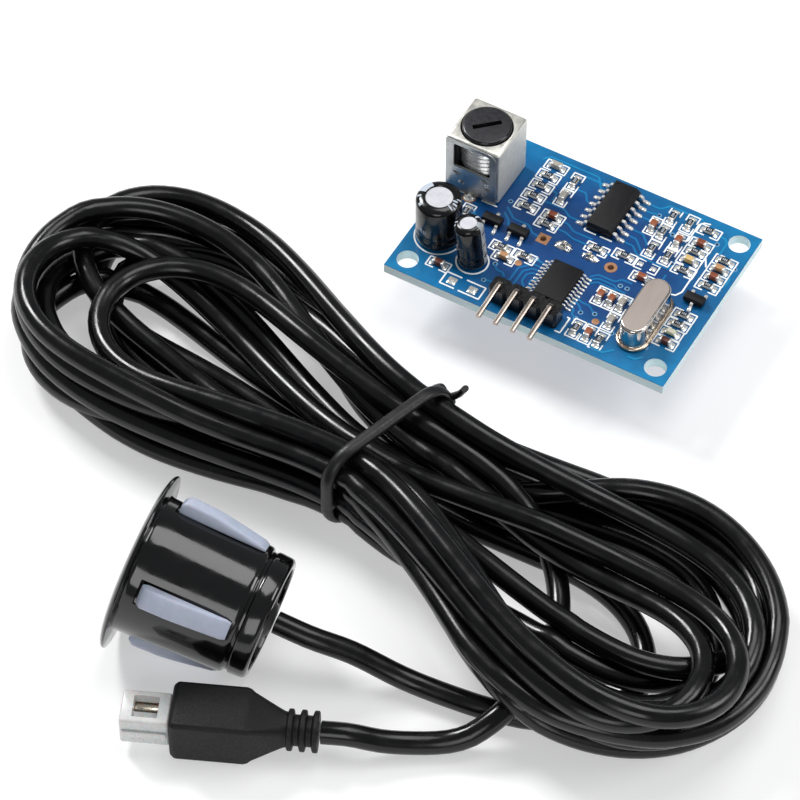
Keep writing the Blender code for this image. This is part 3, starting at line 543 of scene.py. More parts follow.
def make_studio(mats):
    softbox("key", (-230, 260, 330), 130, 1.7)
    softbox("top", (120, 120, 480), 260, 0.9)
    softbox("right", (330, -40, 240), 160, 0.5)
    softbox("front", (-60, -380, 220), 200, 0.4)
    world = bpy.data.worlds.new("studio")
    world.use_nodes = True
    world.node_tree.nodes["Background"].inputs["Color"].default_value = (0.94, 0.97, 1.0, 1.0)
    world.node_tree.nodes["Background"].inputs["Strength"].default_value = 0.24
    bpy.context.scene.world = world
    bpy.context.scene.view_settings.view_transform = "Standard"
    half, depth = 3000.0, 0.05
    bm = bmesh.new()
    bm.faces.new([bm.verts.new((x * half * MM, y * half * MM, -depth * MM))
                  for x, y in ((-1, -1), (1, -1), (1, 1), (-1, 1))])
    mesh = bpy.data.meshes.new("floor")
    bm.to_mesh(mesh)
    bm.free()
    mesh.materials.append(mats["floor"])
    floor = bpy.data.objects.new("floor", mesh)
    bpy.context.scene.collection.objects.link(floor)


# ======== cord ========

def probe_pose():
    """Centre of the flange's face, the probe's axis, and the frame whose Z is that axis."""
    pitch = atan2(FLANGE_R - TAIL_R, PROBE_LENGTH - 0.5 - RIM_Z)
    height = FLANGE_R * cos(pitch) + RIM_Z * sin(pitch)
    along = Vector((cos(PROBE_TURN) * cos(pitch), sin(PROBE_TURN) * cos(pitch), -sin(pitch)))
    side = Vector((sin(PROBE_TURN), -cos(PROBE_TURN), 0))
    turn = Matrix((side.cross(along), side, along)).transposed()
    return Vector((*PROBE_AT, height)), along, turn.to_4x4()


def cord_ends():
    """Routes of the two loose ends, from the probe and from the plug to the hank."""
    centre, along, _ = probe_pose()
    out = centre + along * (PROBE_LENGTH + 0.7)
    probe = (out, out + along * 5, (5.5, -68.4, 4.9), (11.5, -67.0, 2.2),
             (16.6, -66.3, LYING), (22.4, -65.6, LYING))
    ahead = Vector((cos(PLUG_TURN), sin(PLUG_TURN), 0))
    back = Vector((*PLUG_AT, PLUG_MID_Z)) + ahead * PLUG_EXIT
    plug = (back, back + ahead * 3.5, back + ahead * 8 + Vector((0, 0.4, -1.4)),
            (20.5, -72.9, 1.7), (23.6, -70.6, 2.6), (25.6, -67.6, 4.1))
    return out, probe, plug


def turn_flat(points, angle):
    turned_points = np.array(points, float)
    x, y = turned_points[:, 0].copy(), turned_points[:, 1].copy()
    turned_points[:, 0] = x * cos(angle) - y * sin(angle)
    turned_points[:, 1] = x * sin(angle) + y * cos(angle)
    return turned_points


def to_hank(points):
    shifted = np.array(points, float)
    shifted[:, :2] -= HANK_AT
    return turn_flat(shifted, -HANK_TURN)


def from_hank(points):
    moved = turn_flat(points, HANK_TURN)
    moved[:, :2] += HANK_AT
    return moved


def smooth_line(points, steps):
    """Catmull-Rom curve through the points."""
    knots = np.array([list(p) for p in points], float)
    knots = np.vstack([2 * knots[0] - knots[1], knots, 2 * knots[-1] - knots[-2]])
    t = (np.arange(steps) / steps)[:, None]
    parts = [0.5 * (2 * b + (c - a) * t + (2 * a - 5 * b + 4 * c - d) * t ** 2
                    + (3 * b - a - 3 * c + d) * t ** 3)
             for a, b, c, d in zip(knots, knots[1:], knots[2:], knots[3:])]
    return np.vstack([*parts, knots[-2:-1]])


def walked(line):
    """Distance along a line to each of its points."""
    return np.concatenate([[0.0], np.cumsum(np.linalg.norm(np.diff(line, axis=0), axis=1))])


def evenly(line, step):
    along = walked(line)
    at = np.linspace(0, along[-1], max(2, round(along[-1] / step)) + 1)
    return np.stack([np.interp(at, along, line[:, k]) for k in range(3)], axis=1)


# Each row of the winding: the lobe's reach, and how far its back and its front bulge, bottom to top.
LEFT_LOBES = ((56.0, 18.5, 0.5), (57.5, 17.5, 15.5), (55.0, 3.0, 15.5), (58.0, 16.5, 16.5),
              (50.0, 13.5, 5.0), (56.5, 9.0, 14.0), (57.5, 18.8, 3.5), (58.0, 14.5, 16.5),
              (56.5, 6.0, 15.6), (46.5, 8.2, 11.7))
RIGHT_LOBES = ((50.5, 13.0, 9.5), (57.0, 19.0, 19.0), (53.5, 8.0, 13.0), (57.5, 16.5, 19.5),
               (55.0, 17.5, 7.0), (58.5, 19.3, 20.0), (57.5, 12.5, 15.5), (56.0, 0.8, 17.4),
               (59.5, 4.5, 16.8))
# Where each row crosses the waist, in front and behind.
WAIST = ((1.0, 5.0), (7.5, 8.0), (4.5, 2.5), (8.3, 6.5), (2.0, 8.3), (6.0, 0.5), (7.8, 7.5),
         (3.5, 4.0), (8.2, -1.5), (5.8, 5.0))


def lobe(side, shape, front_waist, back_waist):
    """One lobe's run, from the front of the waist round the tip to its back; side is -1 or 1."""
    reach, back, front = shape
    half = max(11.0, (back + front) / 2)
    shift = (back - front) / 2
    stretch = 1.0 + 0.25 * min(1.0, max(0.0, (half - 9.5) / 6))
    centre = reach - half * stretch
    neck = 0.55 * reach if 0.55 * reach < centre - 3 else centre - 4
    tip = [(centre + half * stretch * cos(radians(a)), shift + half * sin(radians(a)))
           for a in (-78, -45, -15, 15, 45, 78)]
    into = [(0.30 * reach, -(front_waist + 0.42 * (front - front_waist))),
            (neck, -(front_waist + 0.90 * (front - front_waist)))]
    out = [(neck, back_waist + 0.90 * (back - back_waist)),
           (0.30 * reach, back_waist + 0.42 * (back - back_waist))]
    return [(side * x, y) for x, y in into + tip + out]


def wound_line(probe_route, plug_route):
    """The whole lead before it settles: probe's end, the rows of the hank, plug's end."""
    probe = to_hank(smooth_line(probe_route, 24))
    plug = to_hank(smooth_line(plug_route, 24))
    rise = 1.12 * CORD_D
    low = CORD_R + 2.15 * CORD_D
    curl = [(37.9, -17.2, 1.6), (43.8, -11.6, 1.6), (44.8, -4.0, 1.8), (39.5, 2.6, 2.2),
            (30.0, 3.8, 3.0), (14.0, 0.8, 4.0)]
    rows = []
    for k, (shape, (front, back)) in enumerate(zip(LEFT_LOBES, WAIST)):
        row = [(0, -front)] + lobe(-1, shape, front, back) + [(0, back)]
        if k < len(RIGHT_LOBES):
            row += lobe(1, RIGHT_LOBES[k], WAIST[k + 1][0], back)[::-1]
        rows += [(x, y, low + rise * (k + 0.98 * j / len(row))) for j, (x, y) in enumerate(row)]
    rows[0] = (*rows[0][:2], 5.2)
    rows[1] = (*rows[1][:2], 6.6)
    top = rows[-1][2]
    last = [(12.0, 6.9, top - 1), (20.5, 5.0, top - 7), (27.5, 0.6, top - 14), (32.4, -6.0, 12.0),
            (34.9, -13.0, 5.9), (35.3, -18.0, 4.75)]
    middle = smooth_line([probe[-1], *curl, *rows, *last, plug[-1]], 16)
    line = np.vstack([probe, middle[1:-1], plug[::-1]])
    return line, walked(probe)[-1] + 24.0, walked(plug)[-1] + 9.0


def mean_of_neighbours(line, gap):
    """How far each point lies from the middle of its neighbours at that gap; 0 at the ends."""
    off = np.zeros_like(line)
    off[gap:-gap] = (line[:-2 * gap] + line[2 * gap:]) / 2 - line[gap:-gap]
    return off


# How the lead settles: rounds, the last of them without speed, and what each round does to it.
ROUNDS, CALM_ROUNDS = 500, 80
FALL, HOLD, EVEN_OUT, STIFFEN = 0.02, 0.12, 0.3, 0.25
SPACING = 1.5
# The tie's half width and height before it is drawn tight, and how far it holds along the hank.
OPEN_HALF, OPEN_HIGH = 16.0, 50.0
TIE_REACH = 2.4


def settle(line, fixed_start, fixed_end):
    """Lay the wound lead down: it keeps its shape, stays out of itself and bends gently."""
    line = evenly(line, SPACING)
    count = len(line)
    home = line.copy()
    before = line.copy()
    number = np.arange(count)
    along = walked(line)
    free = np.clip(np.minimum(along - fixed_start, along[-1] - fixed_end - along) / 12.0, 0.0, 1.0)
    weight = free[:, None]
    for turn in range(ROUNDS):
        speed = np.clip((line - before) * 0.9, -0.4, 0.4) if turn < ROUNDS - CALM_ROUNDS else 0.0
        before = line.copy()
        line = line + weight * (speed - FALL * np.array((0.0, 0.0, 1.0)))
        line[:, :2] += weight * HOLD * (home[:, :2] - line[:, :2])
        line = line + weight * EVEN_OUT * mean_of_neighbours(line, 1)
        for gap in (1, 2, 3, 4):
            line = line - weight * STIFFEN * mean_of_neighbours(mean_of_neighbours(line, gap), gap)
        if turn % 8 == 0:
            far = ((line[:, None, :] - line[None, :, :]) ** 2).sum(2)
            one, two = np.where(far < (CORD_D * 1.55) ** 2)
            apart = two - one > 5
            one, two = one[apart], two[apart]
        for _ in range(3):
            step = line[two] - line[one]
            length = np.linalg.norm(step, axis=1) + 1e-9
            overlap = np.clip(CORD_D - length, 0, None)
            share = free[one] + free[two] + 1e-9
            push = (overlap / length / share * 0.5)[:, None] * step
            hit = overlap > 0
            touches = np.bincount(one[hit], minlength=count) + np.bincount(two[hit], minlength=count)
            moved = [np.bincount(two, push[:, k] * free[two], minlength=count)
                     - np.bincount(one, push[:, k] * free[one], minlength=count) for k in range(3)]
            line = line + np.stack(moved, 1) * (1.7 / np.maximum(1.0, touches ** 0.5))[:, None]
            tight = min(1.0, turn / (ROUNDS * 0.5))
            half = OPEN_HALF + (TIE_HALF - CORD_R - OPEN_HALF) * tight
            high = OPEN_HIGH + (TIE_HIGH - CORD_R - OPEN_HIGH) * tight
            waist = np.abs(line[:, 0]) < TIE_REACH
            line[waist, 1] = np.clip(line[waist, 1], -half, half)
            line[waist, 2] = np.clip(line[waist, 2], TIE_LOW + CORD_R, high)
            line[:, 2] = np.maximum(line[:, 2], CORD_R + 0.02)
        if turn % 20 == 19:
            along = walked(line)
            at = np.interp(np.linspace(0, along[-1], count), along, number)
            for rows in (line, home, before):
                rows[:] = np.stack([np.interp(at, number, rows[:, k]) for k in range(3)], 1)
    return line


def make_cord(mats):
    out, probe_route, plug_route = cord_ends()
    line = from_hank(settle(*wound_line(probe_route, plug_route)))
    curve = bpy.data.curves.new("lead_cable", "CURVE")
    curve.dimensions = "3D"
    curve.bevel_depth = CORD_R * MM
    curve.bevel_resolution = 5
    curve.use_fill_caps = True
    spline = curve.splines.new("POLY")
    spline.points.add(len(line) - 1)
    for knot, point in zip(spline.points, line):
        knot.co = (*(point * MM), 1.0)
    curve.materials.append(mats["cable"])
    cable = bpy.data.objects.new("lead_cable", curve)
    bpy.context.scene.collection.objects.link(cable)
    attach(cable, LEAD_BODY)
    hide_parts("probe_cable", "plug_cable", "cable_hank")
    return cable, out


def make_tie(mats):
    """Rubber band round the waist, slanting a little, with its knot behind and its fold in front."""
    matrix = Matrix.Translation((*HANK_AT, 0)) @ Matrix.Rotation(HANK_TURN, 4, "Z")
    slant, knot_z = 0.16, 10.2
    loop = rectangle(-TIE_HALF - 0.55, TIE_HALF + 0.55, TIE_LOW - 0.75, TIE_HIGH + 0.6, 4.2, 10)
    path = [(slant * y, y, z) for y, z in loop]
    bm = placed(sweep(path, oval(0.95, 0.62, 12), across=(1, 0, 0), closed=True), matrix)
    for y, z, size in ((TIE_HALF + 0.5, knot_z, 1.25), (-TIE_HALF - 0.3, 6.2, 1.0)):
        ball = bmesh.new()
        bmesh.ops.create_uvsphere(ball, u_segments=16, v_segments=10, radius=size)
        bmesh.ops.scale(ball, vec=(1.15, 0.75, 0.95), verts=ball.verts)
        bmesh.ops.translate(ball, vec=(slant * y, y, z), verts=ball.verts)
        stamp(bm, ball, matrix)
    tails = (((0.0, 0.0, 0.0), (1.6, 0.8, 1.3), (2.6, 0.7, 3.4)),
             ((0.0, 0.0, 0.0), (-1.4, 0.9, 0.6), (-2.6, 1.0, -0.9)))
    for tail in tails:
        start = Vector((slant * TIE_HALF, TIE_HALF + 0.5, knot_z))
        path = rounded([start + Vector(p) for p in tail], 1.0)
        stamp(bm, sweep(path, oval(0.6, 0.45)), matrix)
    return piece("hank_band", bm, [mats["tie"]], LEAD_BODY, ["hank_tie"], 60)


# ======== board ========

def place(x, y, quarter=0, z=0.0):
    """Matrix that puts a shape drawn about its own centre on the board, turned by quarter turns."""
    spot = Vector((BOARD_LOW.x + x, BOARD_LOW.y + y, TOP + z))
    return Matrix.Translation(spot) @ Matrix.Rotation(quarter * pi / 2, 4, "Z")


# Holes and vias are (x, y, radius) or (x, y) on the board.
SCREW_HOLES = [(x, y, 1.5) for x in (2.35, 39.65) for y in (2.35, 26.65)]
HEADER_HOLES = [(16.3 + 2.54 * k, 2.65, 0.5) for k in range(4)]
SOCKET_HOLES = [(19.525, 14.6, 0.5), (23.275, 14.6, 0.5)]
OPEN_HOLES = [(16.4, 14.45, 0.55), (26.6, 14.5, 0.52)]
VIA_HOLE = 0.2
VIAS = ((9.4, 18.1), (12.9, 7.45), (12.9, 4.25), (17.3, 10.9), (26.75, 5.7), (28.5, 6.4), (26.65, 4.5),
        (32.0, 4.6), (29.2, 12.35), (30.2, 12.35), (31.75, 10.7), (5.8, 14.0), (28.0, 25.8),
        (28.7, 23.5), (31.1, 23.7), (33.4, 19.1), (37.1, 25.1), (41.15, 22.4), (40.85, 18.1), (37.0, 4.7))
CAPACITOR_COLOURS = ("grey sienna tan brown sienna straw tan sienna orange brown "
                     "grey grey grey orange orange orange orange orange").split()
RESISTORS_ALONG_X = ((11.75, 24.5), (11.75, 22.5), (11.7, 20.4), (11.75, 18.3), (15.6, 16.85),
                     (12.3, 10.3), (15.7, 10.4), (23.5, 16.35), (27.3, 17.1), (35.2, 26.5),
                     (35.2, 22.35), (35.3, 18.75), (39.4, 22.85), (39.35, 17.9), (38.9, 11.9),
                     (38.9, 10.1))
RESISTORS_ALONG_Y = ((15.35, 25.3), (5.1, 13.35), (29.75, 26.4), (29.8, 23.3), (29.85, 20.0),
                     (32.3, 26.4), (32.35, 19.9), (27.5, 2.9), (31.1, 2.65))


def make_board(mats):
    """Laminate plate with all its holes; its flat faces carry the blue mask."""
    plate = box_shape(BOARD_LOW, BOARD_HIGH, 0.06, 1)
    drill = bmesh.new()
    middle = (BOARD_LOW.z + BOARD_HIGH.z) / 2
    holes = SCREW_HOLES + HEADER_HOLES + SOCKET_HOLES + OPEN_HOLES + [(*via, VIA_HOLE) for via in VIAS]
    for x, y, radius in holes:
        bmesh.ops.create_cone(drill, cap_ends=True, segments=64 if radius > 1 else 20,
                              radius1=radius, radius2=radius, depth=4.0,
                              matrix=Matrix.Translation((BOARD_LOW.x + x, BOARD_LOW.y + y, middle)))
    plate = cut(plate, drill)
    paint(plate, lambda _, normal: 0 if abs(normal.z) > 0.6 else 1)
    piece("board_plate", plate, [mats["mask"], mats["laminate"]], BOARD_BODY,
          ["circuit_board"])


# How far flat prints, pads and solder reach into the board below them.
SUNK = 0.02


def ribbon(bm, points, width, height, radius=0.15):
    """Flat raised strip on the board's top, along board coordinates."""
    path = [Vector((BOARD_LOW.x + x, BOARD_LOW.y + y, TOP)) for x, y in points]
    path = rounded(path, radius, 2) if len(path) > 2 else path
    half = width / 2
    # Strips that lie across each other have tops at different heights, so that one covers the other.
    height += 0.001 * (len(bm.verts) // 8 * 5 % 37)
    stamp(bm, sweep(path, ((-half, -SUNK), (half, -SUNK), (half, height), (-half, height))))


TRACES = (
    ((24.9, 11.7), (25.8, 12.6), (28.2, 12.6), (28.9, 13.4), (30.4, 13.4)),
    ((24.9, 11.0), (26.1, 12.0), (28.5, 12.0), (29.1, 11.5), (30.4, 11.5)),
    ((24.9, 10.3), (26.3, 11.4), (28.8, 11.4), (29.3, 10.9)),
    ((24.9, 7.8), (26.0, 7.3), (27.2, 7.3), (28.2, 6.5)),
    ((24.9, 7.1), (26.1, 6.6), (26.7, 5.9)),
    ((24.9, 6.4), (25.8, 5.6), (25.8, 4.9), (26.5, 4.5)),
    ((19.1, 9.2), (17.7, 9.2), (16.7, 8.2), (16.7, 5.4)),
    ((19.1, 8.5), (18.0, 8.5), (17.4, 7.9), (17.4, 6.6), (18.3, 5.6)),
    ((19.1, 7.8), (18.4, 7.4), (18.4, 6.6), (20.0, 5.3)),
    ((19.1, 9.9), (17.4, 9.9), (15.9, 8.4), (15.9, 5.9), (14.7, 4.7), (13.0, 4.3)),
    ((19.1, 10.6), (17.4, 10.8)),
    ((9.5, 17.0), (11.2, 15.6), (13.6, 15.6), (14.6, 14.6), (15.7, 14.5)),
    ((9.6, 16.0), (10.8, 15.0), (11.2, 14.2)),
    ((16.9, 18.4), (18.0, 18.4), (19.3, 17.6), (22.2, 17.6)),
    ((16.7, 16.9), (18.4, 16.9), (19.8, 16.4), (22.0, 16.4)),
    ((13.2, 20.4), (15.0, 20.4), (16.4, 20.4), (17.6, 19.6), (19.2, 19.6)),
    ((13.2, 22.5), (14.2, 22.5), (14.2, 21.0)),
    ((16.1, 24.4), (17.6, 24.4), (18.4, 23.1), (19.3, 23.1)),
    ((16.0, 27.0), (18.2, 27.0), (19.3, 26.9)),
    ((25.7, 26.9), (27.6, 26.9), (28.6, 28.0), (33.6, 28.0)),
    ((25.7, 25.6), (26.8, 25.6), (27.8, 25.8)),
    ((25.7, 24.4), (27.4, 24.4), (28.2, 24.4)),
    ((25.7, 21.8), (27.6, 21.8), (28.8, 20.6), (29.0, 20.2)),
    ((25.7, 20.6), (27.2, 20.6), (28.4, 19.4), (29.2, 18.6), (31.0, 18.6)),
    ((25.7, 19.3), (27.4, 19.3), (28.6, 18.2), (30.0, 18.0), (33.4, 18.0), (33.4, 18.9)),
    ((24.9, 16.35), (26.0, 16.35), (26.4, 17.0)),
    ((32.4, 14.8), (33.6, 15.6), (33.6, 17.0)),
    ((36.4, 26.5), (37.6, 26.5), (38.2, 25.9), (38.2, 23.6)),
    ((40.6, 21.2), (41.3, 20.6), (41.3, 19.4), (40.8, 18.3)),
    ((30.6, 1.1), (32.4, 1.1), (33.6, 2.3)),
    ((35.6, 2.2), (36.6, 2.2), (37.5, 3.1)),
    ((5.8, 14.0), (6.8, 13.4), (7.4, 12.4)),
    ((12.9, 7.3), (13.6, 6.6), (14.6, 6.6), (15.0, 6.0)),
    ((14.6, 9.1), (15.2, 9.1)),
    ((32.0, 4.6), (31.2, 4.2), (31.1, 3.8)),
    ((20.2, 26.0), (19.0, 26.0), (17.8, 27.8), (10.4, 27.8), (9.6, 27.0)),
)
LONG_SILK = (
    ((34.8, 27.8), (33.9, 27.6), (33.4, 27.0), (33.4, 23.7), (32.3, 23.2)),
    ((36.8, 22.5), (36.8, 15.4), (36.3, 14.5), (35.4, 14.3)),
    ((36.7, 22.5), (37.6, 20.8)),
    ((1.5, 16.3), (3.6, 16.3)), ((5.9, 16.3), (8.3, 16.3)),
    ((20.4, 18.55), (22.2, 18.55)), ((22.8, 18.55), (24.6, 18.55)), ((20.4, 18.55), (20.4, 18.95)),
    ((25.2, 1.3), (26.0, 1.3), (26.0, 4.1), (25.6, 4.1)),
    ((10.2, 0.95), (8.0, 0.95), (8.0, 3.1), (10.3, 3.1)),
    ((11.0, 3.1), (13.9, 3.1), (13.9, 0.95), (10.8, 0.95)),
)


def bracket(bm, x, y, along_x):
    """Printed outline of a small part, open in the middle of its long sides."""
    half_long, half_short, gap = 1.6, 0.82, 0.42
    for side in (-1, 1):
        path = [(side * gap, half_short), (side * half_long, half_short),
                (side * half_long, -half_short), (side * gap, -half_short)]
        points = [(x + u, y + v) if along_x else (x + v, y + u) for u, v in path]
        ribbon(bm, points, 0.2, 0.03, 0.05)


def arc(x, y, radius, start, end):
    steps = 48
    return [(x + radius * cos(radians(start + (end - start) * k / steps)),
             y + radius * sin(radians(start + (end - start) * k / steps))) for k in range(steps + 1)]


def ring_pad(inner, outer, height):
    """Flat ring that rises from just below the surface."""
    return turned(((inner, -SUNK), (outer, -SUNK), (outer, height), (inner, height)), 28)


def make_print(mats, chip_places):
    """Traces, white print, bare pads and via rings, as thin raised solids."""
    traces = bmesh.new()
    for points in TRACES:
        ribbon(traces, points, 0.3, 0.02, 0.25)
    piece("board_traces", traces, [mats["trace"]], BOARD_BODY)
    silk = bmesh.new()
    for points in LONG_SILK:
        ribbon(silk, points, 0.22, 0.03, 0.1)
    for x, y, along_x in chip_places:
        bracket(silk, x, y, along_x)
    for x, y, radius in ((3.95, 8.0, 3.3), (10.05, 6.3, 2.2)):
        ribbon(silk, arc(x, y, radius, 150, 420), 0.22, 0.03)
    bracket(silk, 30.7, 17.0, True)
    piece("board_print_and_highlights", silk, [mats["silk"]], BOARD_BODY)
    square, ring = [place(x, y) for x, y, _ in OPEN_HOLES]
    bore = OPEN_HOLES[0][2]
    pads = placed(cut(box_shape((-0.85, -0.85, -SUNK), (0.85, 0.85, 0.05), 0.02, 1),
                      turned(((0, -1), (bore, -1), (bore, 1), (0, 1)), 24)), square)
    stamp(pads, ring_pad(0.52, 0.88, 0.05), ring)
    stamp(pads, ring_pad(0.3, 0.95, 0.06), place(4.25, 15.95))
    for x, y in ((15.5, 9.1), (29.2, 5.3)):
        dot = turned(((0, -SUNK), (0.52, -SUNK), (0.52, 0.03), (0.46, 0.05), (0, 0.06)), 24)
        stamp(pads, dot, place(x, y))
    for matrix in (square, ring):
        stamp(pads, turned(((0.44, -1.58), (0.56, -1.58), (0.56, 0.04), (0.44, 0.04)), 24), matrix)
    piece("board_gold_pads", pads, [mats["gold"]], BOARD_BODY)
    rings = bmesh.new()
    for x, y in VIAS:
        barrel = ((VIA_HOLE, -1.5), (0.36, -1.5), (0.36, 0.02), (0.3, 0.045), (VIA_HOLE, 0.03))
        stamp(rings, turned(barrel, 20), place(x, y))
        # Painted shade: a black disc just under the top of each bore stands for the dark inside of the hole.
        stamp(rings, turned(((0, -1.2), (0.23, -1.2), (0.23, -0.12), (0, -0.12)), 12), place(x, y), 1)
    piece("board_vias", rings, [mats["via"], mats["block"]], BOARD_BODY)


# ======== soldered parts ========

def wedge(width, reach, rise):
    """Concave fillet of solder against a face at x = 0, running out along +X."""
    rings = []
    for across, tall, far in ((-1.0, 0.3, 0.8), (-0.78, 0.85, 1.0), (0, 1, 1.06), (0.78, 0.85, 1.0),
                              (1.0, 0.3, 0.8)):
        curve = ((-0.06, rise * tall), (0.1, rise * tall * 0.62), (0.32, rise * tall * 0.32),
                 (0.68, rise * tall * 0.13), (1.0, 0.03), (1.0, -SUNK), (-0.06, -SUNK))
        rings.append([(u * reach * far, across * width / 2, z) for u, z in curve])
    return loft(rings)


def solder_ends(solder, x, y, quarter, half, rise=0.5):
    """Fillets at both ends of a small part whose long axis has that many quarter turns."""
    for side in (0, 2):
        spot = place(x, y, quarter + side) @ Matrix.Translation((half, 0, 0))
        stamp(solder, wedge(1.05, 0.52, rise), spot)


def terminals(metal, matrix, half_long, half_short, high, wide=0.3):
    """Tinned caps over both ends of a small part."""
    for side in (-1, 1):
        low_x, high_x = sorted((side * half_long, side * (half_long - wide)))
        stamp(metal, box_shape((low_x, -half_short - 0.015, GAP - 0.04),
                               (high_x, half_short + 0.015, GAP + high + 0.015), 0.07), matrix)


def make_chip_parts(mats):
    """Ceramic capacitors, resistors and the indicator, with their tinned ends and solder."""
    metal, solder, places = bmesh.new(), bmesh.new(), []
    for k, colour in enumerate(CAPACITOR_COLOURS):
        node = f"ceramic_capacitor_{k + 1:02d}"
        low, high = corners(node)
        size = high - low
        along_x = size.x > size.y
        middle = (low + high) / 2 - BOARD_LOW
        quarter = 0 if along_x else 1
        matrix = place(middle.x, middle.y, quarter)
        half_long, half_short = max(size.x, size.y) / 2, min(size.x, size.y) / 2
        block = box_shape((-half_long + 0.2, -half_short, GAP), (half_long - 0.2, half_short, GAP + size.z),
                          0.05)
        piece(node + "_body", placed(block, matrix), [mats[colour]], BOARD_BODY, [node])
        terminals(metal, matrix, half_long, half_short, size.z)
        solder_ends(solder, middle.x, middle.y, quarter, half_long)
        places.append((middle.x, middle.y, along_x))
    bodies = bmesh.new()
    for spots, quarter in ((RESISTORS_ALONG_X, 0), (RESISTORS_ALONG_Y, 1)):
        for x, y in spots:
            matrix = place(x, y, quarter)
            stamp(bodies, box_shape((-0.7, -0.39, GAP), (0.7, 0.39, GAP + 0.42), 0.03, 1), matrix, 1)
            stamp(bodies, box_shape((-0.52, -0.37, GAP + 0.4), (0.52, 0.37, GAP + 0.48), 0.03), matrix)
            for mid in (-0.24, 0.0, 0.24):
                mark = box_shape((mid - 0.06, -0.17, GAP + 0.47), (mid + 0.06, 0.17, GAP + 0.488))
                stamp(bodies, mark, matrix, 2)
            terminals(metal, matrix, 0.8, 0.4, 0.45, 0.32)
            solder_ends(solder, x, y, quarter, 0.8, rise=0.36)
            places.append((x, y, quarter == 0))
    piece("chip_resistors", bodies, [mats["resistor"], mats["alumina"], mats["print_and_highlight"]], BOARD_BODY)
    low, high = corners("status_led")
    middle = (low + high) / 2 - BOARD_LOW
    matrix = place(middle.x, middle.y)
    light = placed(box_shape((-0.72, -0.4, GAP), (0.72, 0.4, GAP + 0.28), 0.03, 1), matrix, 1)
    lens = stack([(-0.56, 0.56, -0.39, 0.39, 0.05, GAP + 0.26),
                  (-0.52, 0.52, -0.36, 0.36, 0.08, GAP + 0.52),
                  (-0.46, 0.46, -0.3, 0.3, 0.12, GAP + 0.6)])
    stamp(light, lens, matrix)
    piece("status_led_lens", light, [mats["led"], mats["led_die"]], BOARD_BODY, ["status_led"])
    terminals(metal, matrix, 0.8, 0.4, 0.28, 0.2)
    solder_ends(solder, middle.x, middle.y, 0, 0.8, rise=0.3)
    places.append((middle.x, middle.y, True))
    piece("chip_terminals", metal, [mats["terminal"]], BOARD_BODY)
    for x, y, wide in ((9.35, 2.0, 1.25), (12.5, 1.9, 1.25), (29.75, 17.0, 0.8), (31.65, 17.0, 0.8)):
        half = wide / 2
        lump = tapered([(half, 0.15, -SUNK), (half, 0.15, 0.06), (half * 0.8, 0.2, 0.14),
                        (half * 0.4, 0.2, 0.17)])
        stamp(solder, lump, place(x, y))
    return solder, places


def gull_leads(metal, solder, centre, leads, width, reach, rise, thick):
    """Bent leads, each at a place on the body's side with its outward direction."""
    half = width / 2
    ring = rectangle(-half, half, -thick / 2, thick / 2, 0.03, 1)
    for u, v, out in leads:
        quarter = {(1, 0): 0, (0, 1): 1, (-1, 0): 2, (0, -1): 3}[out]
        matrix = place(centre.x + u, centre.y + v, quarter)
        low = GAP + thick / 2
        path = rounded(((-0.3, 0, GAP + rise), (reach * 0.38, 0, GAP + rise), (reach * 0.56, 0, low),
                        (reach, 0, low)), 0.16)
        stamp(metal, sweep(path, ring, across=(0, 1, 0)), matrix)
        far = reach + FOOT_SOLDER * width
        levels = ((0.5, far, 1.2, 0.8, -SUNK), (0.5, far, 1.2, 0.8, 0.05),
                  (0.55, far - half * 0.4, 1.1, 0.8, GAP + thick * 0.5),
                  (0.62, reach + half * 0.4, 0.8, 0.6, GAP + thick * 0.9))
        lump = stack([(reach * near, end, -half * wide, half * wide, half * corner, z)
                      for near, end, wide, corner, z in levels])
        stamp(solder, lump, matrix)


def mould(size, chamfer=0.0):
    """Moulded package with drafted sides; chamfer takes the top edge off its +X side."""
    half_x, half_y, high = size
    top = GAP + high
    mid = GAP + high * 0.52
    return [(-half_x + 0.1, half_x - 0.1, -half_y + 0.1, half_y - 0.1, 0.1, GAP + 0.08),
            (-half_x, half_x, -half_y, half_y, 0.1, mid - 0.08),
            (-half_x, half_x, -half_y, half_y, 0.1, mid + 0.08),
            (-half_x + 0.07, half_x - 0.06 - chamfer * 0.1, -half_y + 0.07, half_y - 0.07, 0.1,
             top - 0.05 - chamfer),
            (-half_x + 0.1, half_x - 0.1 - chamfer, -half_y + 0.1, half_y - 0.1, 0.1, top - 0.03),
            (-half_x + 0.16, half_x - 0.16 - chamfer, -half_y + 0.16, half_y - 0.16, 0.1, top)]


